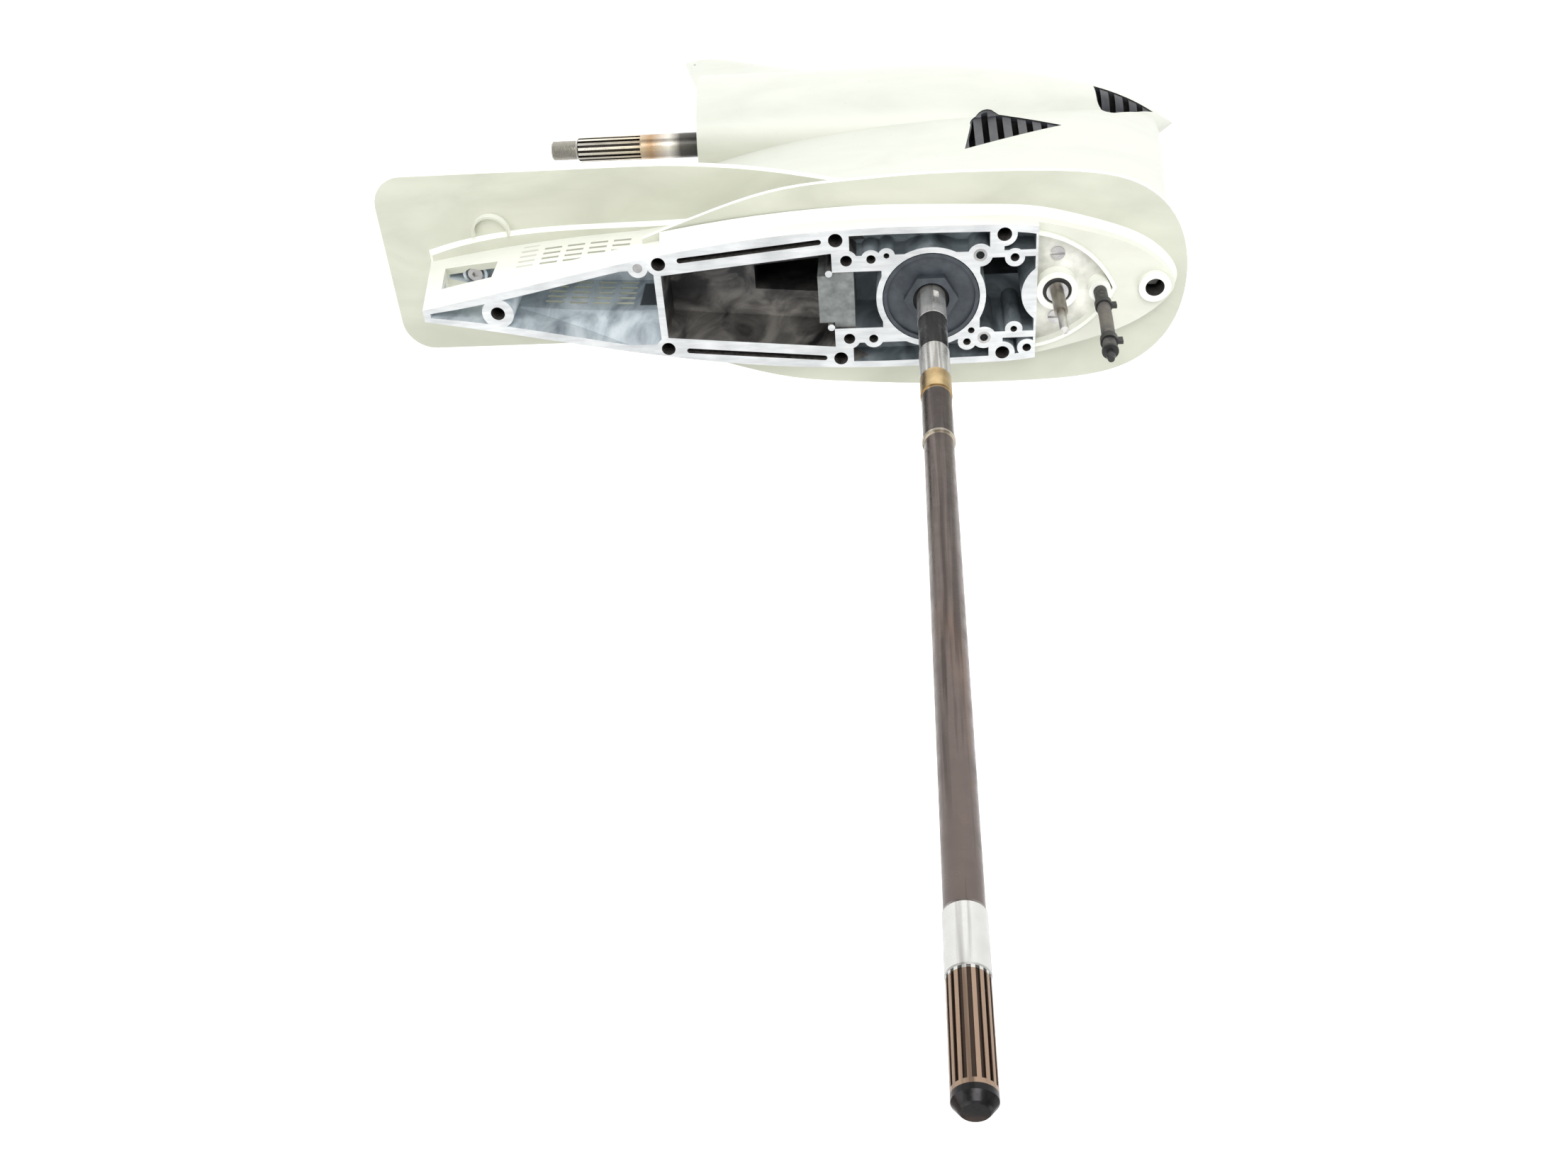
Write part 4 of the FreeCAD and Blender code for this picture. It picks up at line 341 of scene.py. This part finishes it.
SHAFT_SPAN = (-0.350, 0.800)
SHAFT_BANDS = (
    (-0.350, (0.35, 0.34, 0.34)),
    (0.0, (0.72, 0.71, 0.69)),
    (0.045, (0.05, 0.047, 0.047)),
    (0.093, (0.72, 0.71, 0.69)),
    (0.135, (0.42, 0.31, 0.18)),
    (0.159, (0.10, 0.08, 0.075)),
    (0.219, (0.55, 0.50, 0.42)),
    (0.223, (0.12, 0.095, 0.085)),
    (0.656, (0.56, 0.56, 0.54)),
    (0.695, (0.30, 0.21, 0.15)),
    (0.7575, (0.018, 0.017, 0.018)),
)
# Height span and radii of the painted shade between spline teeth.
SHAFT_GROOVES = (0.695, 0.7565)
SHAFT_GROOVE_RADII = (0.0100, 0.0109)


def banded_shaft():
    """Drive shaft: bands of finish by height, as worn and heat-stained steel, with streaks of stain and
    painted shade, and painted shade in the hollows between spline teeth.
    """
    look = Look("drive_shaft_steel", metallic=0.8, rough=0.3)
    height = look.remap(look.axis("Z"), *SHAFT_SPAN)
    stops = [(share(z, SHAFT_SPAN), colour) for z, colour in SHAFT_BANDS]
    band = look.ramp(height, stops, step=True)
    stain = look.noise(22.0, 6.0, (1, 1, 0.35), distort=0.8)
    rust = look.ramp(stain, [(0.52, (0, 0, 0)), (0.72, (1, 1, 1))])
    band = look.blend(look.times(rust, 0.35), band, (0.25, 0.14, 0.09))
    # Streaks of stain together with painted shade along the shaft.
    band = look.blend(look.streaks(), band, (0.30, 0.28, 0.27), "MULTIPLY")
    # Painted shade in the hollows between spline teeth.
    deep = look.remap(look.radius((0, 0, 0), (1, 1, 0)), *SHAFT_GROOVE_RADII, 1.0, 0.0)
    groove_shade = look.times(deep, look.within("Z", *SHAFT_GROOVES))
    look.colour(look.blend(groove_shade, band, (0.035, 0.022, 0.016)))
    look.rough(look.noise(90.0, 4.0), 0.2, 0.42)
    look.bump(look.noise(900.0, 2.0, (1, 1, 0.2)), 0.00002)
    return look.material


PROPELLER_SPAN = (-0.400, 0.0)
THREAD_END = -0.352
THREAD_PITCH = 0.0016
PROPELLER_BANDS = (
    (-0.400, (0.40, 0.38, 0.33)),
    (THREAD_END, (0.44, 0.42, 0.37)),
    (-0.350, (0.70, 0.68, 0.62)),
    (-0.292, (0.66, 0.58, 0.44)),
    (-0.274, (0.42, 0.27, 0.15)),
    (-0.256, (0.72, 0.69, 0.62)),
    (-0.244, (0.10, 0.095, 0.085)),
    (-0.222, (0.05, 0.05, 0.048)),
)
PROPELLER_AXIS_DROP = 0.350
# Span aft and radii of the painted shade between spline teeth.
PROPELLER_GROOVES = (-0.350, -0.285)
PROPELLER_GROOVE_RADII = (0.0112, 0.0119)


def banded_propeller_shaft():
    """Propeller shaft: threaded tip, heat-tinted splines with painted shade in the hollows between their
    teeth, and a dark polished root, by distance aft.
    """
    look = Look("propeller_shaft_steel", metallic=1.0, rough=0.28)
    along = look.remap(look.axis("X"), *PROPELLER_SPAN)
    stops = [(share(x, PROPELLER_SPAN), colour) for x, colour in PROPELLER_BANDS]
    # Painted shade in the hollows between spline teeth.
    from_axis = look.radius((0, 0, PROPELLER_AXIS_DROP), (0, 1, 1))
    deep = look.remap(from_axis, *PROPELLER_GROOVE_RADII, 1.0, 0.0)
    groove_shade = look.times(deep, look.within("X", *PROPELLER_GROOVES))
    look.colour(look.blend(groove_shade, look.ramp(along, stops), (0.035, 0.030, 0.026)))
    look.rough(look.noise(90.0, 4.0), 0.2, 0.4)
    thread_end = share(THREAD_END, PROPELLER_SPAN)
    thread = look.ramp(along, [(0.0, (1, 1, 1)), (thread_end, (0, 0, 0))], step=True)
    look.bump(look.times(look.wave(look.axis("X"), THREAD_PITCH), thread), 0.0005)
    return look.material


SHIFT_SPAN = 0.08


def stained_shift_shaft():
    """Shift shaft: brown and dull near its bush, bright at its reduced end, by height."""
    look = Look("shift_shaft_steel", metallic=0.9, rough=0.34)
    height = look.remap(look.axis("Z"), 0.0, SHIFT_SPAN)
    stops = [(0.0, (0.16, 0.14, 0.11)), (0.45, (0.34, 0.32, 0.28)), (0.62, (0.66, 0.65, 0.62))]
    tone = look.ramp(height, stops)
    stain = look.noise(180.0, 5.0, (1, 1, 0.3))
    look.colour(look.blend(look.remap(stain, 0.45, 0.7, 0.0, 0.55), tone, (0.14, 0.115, 0.085)))
    look.rough(stain, 0.28, 0.5)
    return look.material


HOSE_SPAN = 0.10


def hose_look():
    """Black boot, grey sleeve worn to tan, black end, by height."""
    look = Look("hose_rubber", rough=0.6)
    height = look.remap(look.axis("Z"), 0.0, HOSE_SPAN)
    stops = [(0.0, (0.012, 0.012, 0.012)), (0.28, (0.02, 0.02, 0.02)), (0.34, (0.10, 0.09, 0.08)),
             (0.6, (0.13, 0.12, 0.10)), (0.72, (0.07, 0.065, 0.06)), (0.8, (0.02, 0.02, 0.02))]
    tone = look.ramp(height, stops)
    wear = look.noise(160.0, 5.0)
    look.colour(look.blend(look.remap(wear, 0.45, 0.75, 0.0, 0.5), tone, (0.24, 0.22, 0.19)))
    look.rough(wear, 0.5, 0.75)
    look.bump(look.noise(260.0, 4.0), 0.0004)
    return look.material


def floor_look():
    """Pale floor with a faint glow, so that it stays near white under the object."""
    look = Look("pale_floor", rough=0.9)
    cloud = look.noise(0.8, 2.0)
    look.colour(look.ramp(cloud, [(0.3, (0.92, 0.92, 0.92)), (0.7, (0.95, 0.95, 0.95))]))
    look.shader.inputs["Emission Color"].default_value = (1.0, 1.0, 1.0, 1.0)
    look.shader.inputs["Emission Strength"].default_value = 0.22
    return look.material


def hole_look():
    """Inside of a drilled hole: dark metal with painted shade, darker still further down."""
    look = Look("shaded_drilled_hole", metallic=0.5, rough=0.55)
    grain = look.noise(300.0, 3.0)
    tone = look.ramp(grain, [(0.3, (0.05, 0.045, 0.04)), (0.7, (0.16, 0.15, 0.14))])
    # Painted shade: darker further down the hole.
    depth_shade = look.remap(look.axis("Z"), -0.02, -0.001, 0.85, 0.0)
    look.colour(look.blend(depth_shade, tone, (0.012, 0.011, 0.011)))
    look.rough(grain, 0.45, 0.65)
    return look.material


# Finish of each record slot

SLOT_LOOKS = {
    "dark_screen": dull_look("screen_black", (0.010, 0.011, 0.014), (0.035, 0.037, 0.045), 0.35),
    "ground_steel": metal_look("ground_steel", (0.42, 0.42, 0.42), (0.62, 0.61, 0.59), 0.25),
    "bronze": metal_look("bronze", (0.40, 0.27, 0.13), (0.62, 0.46, 0.24), 0.3),
    "bearing_steel": metal_look("bearing_steel", (0.50, 0.50, 0.50), (0.66, 0.66, 0.65), 0.18),
    "dark_moulding": dull_look("slate_moulding", (0.020, 0.026, 0.033), (0.050, 0.060, 0.072), 0.42),
    "seal_rubber": dull_look("seal_rubber", (0.010, 0.010, 0.010), (0.03, 0.03, 0.03), 0.6),
    "gear_steel": metal_look("gear_steel", (0.28, 0.28, 0.29), (0.48, 0.47, 0.46), 0.3),
    "cast_aluminium": metal_look("cast_aluminium", (0.42, 0.44, 0.46), (0.62, 0.64, 0.66), 0.5, bump=0.0002),
    "black_plastic": dull_look("black_plastic", (0.008, 0.008, 0.008), (0.02, 0.02, 0.02), 0.45),
    "grey_block": dull_look("grey_block", (0.10, 0.11, 0.105), (0.20, 0.215, 0.21), 0.55, 140.0),
}
PAINT = paint_look()
MACHINED = machined_look()
REAR_CHAMBER = chamber_look("rear_chamber", (0.20, 0.23, 0.26), (0.60, 0.66, 0.69), (0.90, 0.93, 0.94),
                            0.25, 0.12)
EXHAUST_CHAMBER = chamber_look("exhaust_chamber", (0.006, 0.006, 0.007), (0.035, 0.034, 0.036),
                               (0.30, 0.29, 0.27), 0.4, ash_and_light=0.8)
FORWARD_CHAMBER = chamber_look("forward_chamber", (0.05, 0.06, 0.07), (0.25, 0.29, 0.31), (0.60, 0.66, 0.70))
INNER_METAL = SLOT_LOOKS["cast_aluminium"]
HOLE = hole_look()
RECESS = dull_look("dirty_recess", (0.40, 0.40, 0.36), (0.80, 0.80, 0.74), 0.6, 50.0)


# Finish of each facet of the casting, from its place in millimetres

ZONE_LOOKS = (PAINT, MACHINED, REAR_CHAMBER, EXHAUST_CHAMBER, FORWARD_CHAMBER, INNER_METAL, RECESS, HOLE)
PAINTED, MILLED, IN_REAR, IN_EXHAUST, IN_FORWARD, INNER, SUNK, SHADED_HOLE = range(len(ZONE_LOOKS))

# Half widths by distance from the drive shaft: the mating face, the spaces under it, the exhaust passage
FACE_OUTLINE = [(-430, 5.5), (-401.7, 11.3), (-363.8, 18.3), (-326.2, 25.9), (-264.4, 39.5), (-216, 48.9),
                (-156.7, 57), (-87, 62.6), (-7, 64.3), (38.3, 62.9), (86.4, 55.5)]
SPACE_OUTLINE = [(-424, 3), (-353, 15.9), (-253, 23.5), (-225, 25), (-223, 30.5), (-81, 44), (-80.5, 28),
                 (-46, 28), (-45.5, 47), (40, 47), (40.5, 36), (86, 36)]
PASSAGE_OUTLINE = [(-150.5, 11.6), (-69.5, 18.6)]
# Centre and radius of each hole. Those aft of PAIRED_HOLES_END, past PAIRED_HOLES_HALF, are on both sides.
HOLES = [(-365.7, 0, 6), (-224, 39.5, 5.9), (-77, 54.4, 5.9), (59.6, 54, 5.9), (-69, 35.9, 4.8),
         (-48.6, 36.5, 3.8), (-35.9, 39.1, 2.4), (29.8, -42.6, 3.2), (33.3, -31.9, 2.8), (80, -50, 3.6),
         (68.3, 33.4, 3.6), (68.7, -32, 2.8), (183.3, 0, 7.8)]
SLOT_ENDS = ((-206.0, 42.0), (-91.0, 53.4))
SLOT_RADIUS = 2.4
PAIRED_HOLES_END = 61
PAIRED_HOLES_HALF = 35
STERN_HOLE_END = -300
STERN_HOLE_FOOT = -60.5
HOLE_FOOT = -36.0
HOLE_TOP = -0.5

SIDE_INTAKE_X = (36.9, 132.5)
SIDE_INTAKE_Z = (-305, -230)
SIDE_INTAKE_FLOOR = 15
NOSE_INTAKE_X = (167, 228)
NOSE_INTAKE_Z = (-353, -319)
NOSE_INTAKE_FLOOR = 6

NOSE_STEP = 87.5
FACE_FOOT = -0.4
SKIN_TOP = -45
SKIN_HALF = 38
WALL_FOOT = -30.5
CHAMBER_FOOT = -93.5
REAR_WEB = -225
DIVIDER = -60
PASSAGE_Z = (-350, -45)
SHAFT_BORE_RADIUS = 31.2
SHAFT_BORE_Z = (-420, -20)
SHIFT_BORE_X = (43, 85)
SHIFT_BORE_HALF = 11.2
SHIFT_BORE_Z = (-300, -50)
TORPEDO_AXIS_Z = -350
TORPEDO_BORE_X = (-219.9, 100)
TORPEDO_BORE_RADIUS = 50.4
OUTLET_END = -207
OUTLET_RADIUS = 51.8
RECESS_Z = (-14.3, -13.7)
UP = 0.9
OUTWARD = 0.7
INWARD = -0.1
HOLE_EDGE = 0.3
OUTLINE_EDGE = 1.5


def between(value, span):
    return span[0] < value < span[1]


def half_width(outline, x):
    """Half width of an outline at a distance from the drive shaft, 0 past its ends."""
    for (x0, y0), (x1, y1) in zip(outline, outline[1:]):
        if x0 <= x <= x1:
            return y0 + (y1 - y0) * (x - x0) / (x1 - x0)
    return 0.0


def faces_point(x, y, normal, point_x, point_y):
    """Whether a facet is flat or faces an upright line."""
    return (point_x - x) * normal.x + (point_y - y) * normal.y > -0.01


def in_hole(x, y, normal):
    """Walls of the holes along the mating face, on both sides, and of the two long slots."""
    (x0, y0), (x1, y1) = SLOT_ENDS
    along = min(max((x - x0) / (x1 - x0), 0.0), 1.0)
    slot = (x0 + along * (x1 - x0), y0 + along * (y1 - y0), SLOT_RADIUS)
    for hole_x, hole_y, radius in HOLES + [slot]:
        if hole_x < PAIRED_HOLES_END and hole_y > PAIRED_HOLES_HALF:
            hole_y = math.copysign(hole_y, y)
        near = math.hypot(x - hole_x, y - hole_y) < radius + HOLE_EDGE
        if near and faces_point(x, y, normal, hole_x, hole_y):
            return True
    return False


def in_intake(x, y, z, normal):
    """Walls and floors of the water intake pockets behind the screens."""
    upright = abs(normal.y) < 0.1
    if between(x, SIDE_INTAKE_X) and between(z, SIDE_INTAKE_Z):
        return upright or abs(y) < SIDE_INTAKE_FLOOR
    in_nose = between(x, NOSE_INTAKE_X) and between(z, NOSE_INTAKE_Z)
    return in_nose and (upright or abs(y) < NOSE_INTAKE_FLOOR)


def in_bore(x, y, z, normal):
    """Bores of the drive shaft, the shift shaft and the torpedo."""
    near_shaft = between(z, SHAFT_BORE_Z) and math.hypot(x, y) < SHAFT_BORE_RADIUS
    if near_shaft and faces_point(x, y, normal, 0, 0):
        return True
    if between(x, SHIFT_BORE_X) and abs(y) < SHIFT_BORE_HALF and between(z, SHIFT_BORE_Z):
        return True
    radius = OUTLET_RADIUS if x < OUTLET_END else TORPEDO_BORE_RADIUS
    return between(x, TORPEDO_BORE_X) and math.hypot(y, z - TORPEDO_AXIS_Z) < radius


def chamber_at(x):
    """Which chamber lies at a distance from the drive shaft."""
    if x < REAR_WEB:
        return IN_REAR
    return IN_EXHAUST if x < DIVIDER else IN_FORWARD


def casting_zone(centre, normal):
    """Which of ZONE_LOOKS a facet has."""
    x, y, z = centre / MM
    under_face = x < NOSE_STEP
    outward = normal.y * math.copysign(1, y)
    if under_face and z > FACE_FOOT and normal.z > UP:
        return MILLED
    hole_foot = STERN_HOLE_FOOT if x < STERN_HOLE_END else HOLE_FOOT
    # Hole walls take the hole finish, dark metal with painted shade.
    if hole_foot < z < HOLE_TOP and normal.z > -UP and in_hole(x, y, normal):
        return SHADED_HOLE
    # Intake pockets take the hole finish: painted shade behind the screens.
    if in_intake(x, y, z, normal):
        return SHADED_HOLE
    if z < SKIN_TOP and abs(y) > SKIN_HALF and outward > OUTWARD:
        return PAINTED
    outline = FACE_OUTLINE if z > WALL_FOOT or outward < INWARD else SPACE_OUTLINE
    if under_face and z > CHAMBER_FOOT and abs(y) < half_width(outline, x) - OUTLINE_EDGE:
        return chamber_at(x)
    if between(z, PASSAGE_Z) and abs(y) < half_width(PASSAGE_OUTLINE, x):
        return IN_EXHAUST
    if in_bore(x, y, z, normal):
        return INNER
    if not under_face and between(z, RECESS_Z) and normal.z > UP:
        return SUNK
    return PAINTED


def faces_out(casting, face):
    """Whether an upright facet looks away from the middle and at nothing of the casting."""
    if abs(face.normal.z) > 0.7 or face.normal.y * face.center.y < 0:
        return False
    return not casting.ray_cast(face.center + face.normal * MM, face.normal)[0]


def dress_casting():
    casting = NODES["gearcase_casting"]
    casting.data.materials.clear()
    for material in ZONE_LOOKS:
        casting.data.materials.append(material)
    for face in casting.data.polygons:
        zone = casting_zone(face.center, face.normal)
        if IN_REAR <= zone <= INNER and faces_out(casting, face):
            zone = PAINTED
        face.material_index = zone


def dress_nodes():
    special = {"drive_shaft": banded_shaft(), "propeller_shaft": banded_propeller_shaft(),
               "shift_shaft": stained_shift_shaft()}
    for part in frame["record"]["subparts"]:
        name = part["node"]
        slot = part["material_slot"]
        look = special.get(name) or SLOT_LOOKS.get(slot)
        if look is None:
            continue
        data = NODES[name].data
        data.materials.clear()
        data.materials.append(look)


# Hose

HOSE_ROUTE = [(0.1384, 0.0, 0.0), (0.1384, 0.0, 0.034), (0.1372, -0.0005, 0.068), (0.1354, 0.0003, 0.098)]
HOSE_RADIUS = 0.0055


def make_hose():
    data = bpy.data.curves.new("hose", "CURVE")
    data.dimensions = "3D"
    data.bevel_depth = HOSE_RADIUS
    data.bevel_resolution = 6
    data.use_fill_caps = True
    spline = data.splines.new("NURBS")
    spline.points.add(len(HOSE_ROUTE) - 1)
    for point, place in zip(spline.points, HOSE_ROUTE):
        point.co = (*place, 1.0)
    spline.order_u = 3
    spline.use_endpoint_u = True
    data.materials.append(hose_look())
    hose = bpy.data.objects.new("hose", data)
    bpy.context.scene.collection.objects.link(hose)
    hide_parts("speedometer_hose")
    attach(hose, "root")


# Floor and light

FLOOR_SIZE = 14.0
FLOOR_GAP = 0.002

# Name, place, point it aims at, size in metres and power in watts
LIGHTS = (
    ("key", (0.3, 2.2, 2.0), (0, 0, -0.1), 1.6, 52.0),
    ("fill", (-1.6, 0.2, 2.2), (0, 0, 0.1), 2.0, 26.0),
    ("front", (1.4, -1.2, 2.0), (0, 0, 0.2), 1.8, 20.0),
)
SKY_STRENGTH = 0.80
SKY_LOW = (0.62, 0.62, 0.63, 1.0)
SKY_HIGH = (1.0, 1.0, 1.0, 1.0)
SKY_HIGH_FROM = 0.45


def make_floor():
    low = CAD_BOX[0][2] - FLOOR_GAP
    bpy.ops.mesh.primitive_plane_add(size=FLOOR_SIZE, location=(0, 0, low))
    floor = bpy.context.object
    floor.name = "floor"
    floor.data.materials.append(floor_look())


def area_light(name, place, aim, size, power):
    data = bpy.data.lights.new(name, "AREA")
    data.size = size
    data.energy = power
    light = bpy.data.objects.new(name, data)
    light.location = place
    direction = Vector(aim) - Vector(place)
    light.rotation_euler = direction.to_track_quat("-Z", "Y").to_euler()
    bpy.context.scene.collection.objects.link(light)


def make_world():
    """Plain light from all round, whiter from above."""
    world = bpy.data.worlds.new("studio")
    world.use_nodes = True
    tree = world.node_tree
    sky = tree.nodes["Background"]
    sky.inputs["Strength"].default_value = SKY_STRENGTH
    direction = tree.nodes.new("ShaderNodeTexCoord")
    split = tree.nodes.new("ShaderNodeSeparateXYZ")
    ramp = tree.nodes.new("ShaderNodeValToRGB")
    tree.links.new(direction.outputs["Generated"], split.inputs["Vector"])
    tree.links.new(split.outputs["Z"], ramp.inputs["Fac"])
    tree.links.new(ramp.outputs["Color"], sky.inputs["Color"])
    ramp.color_ramp.elements[0].color = SKY_LOW
    ramp.color_ramp.elements[1].position = SKY_HIGH_FROM
    ramp.color_ramp.elements[1].color = SKY_HIGH
    bpy.context.scene.world = world


bpy.context.scene.view_settings.view_transform = "Standard"
make_camera()
make_hose()
dress_casting()
dress_nodes()
make_floor()
make_world()
for light in LIGHTS:
    area_light(*light)
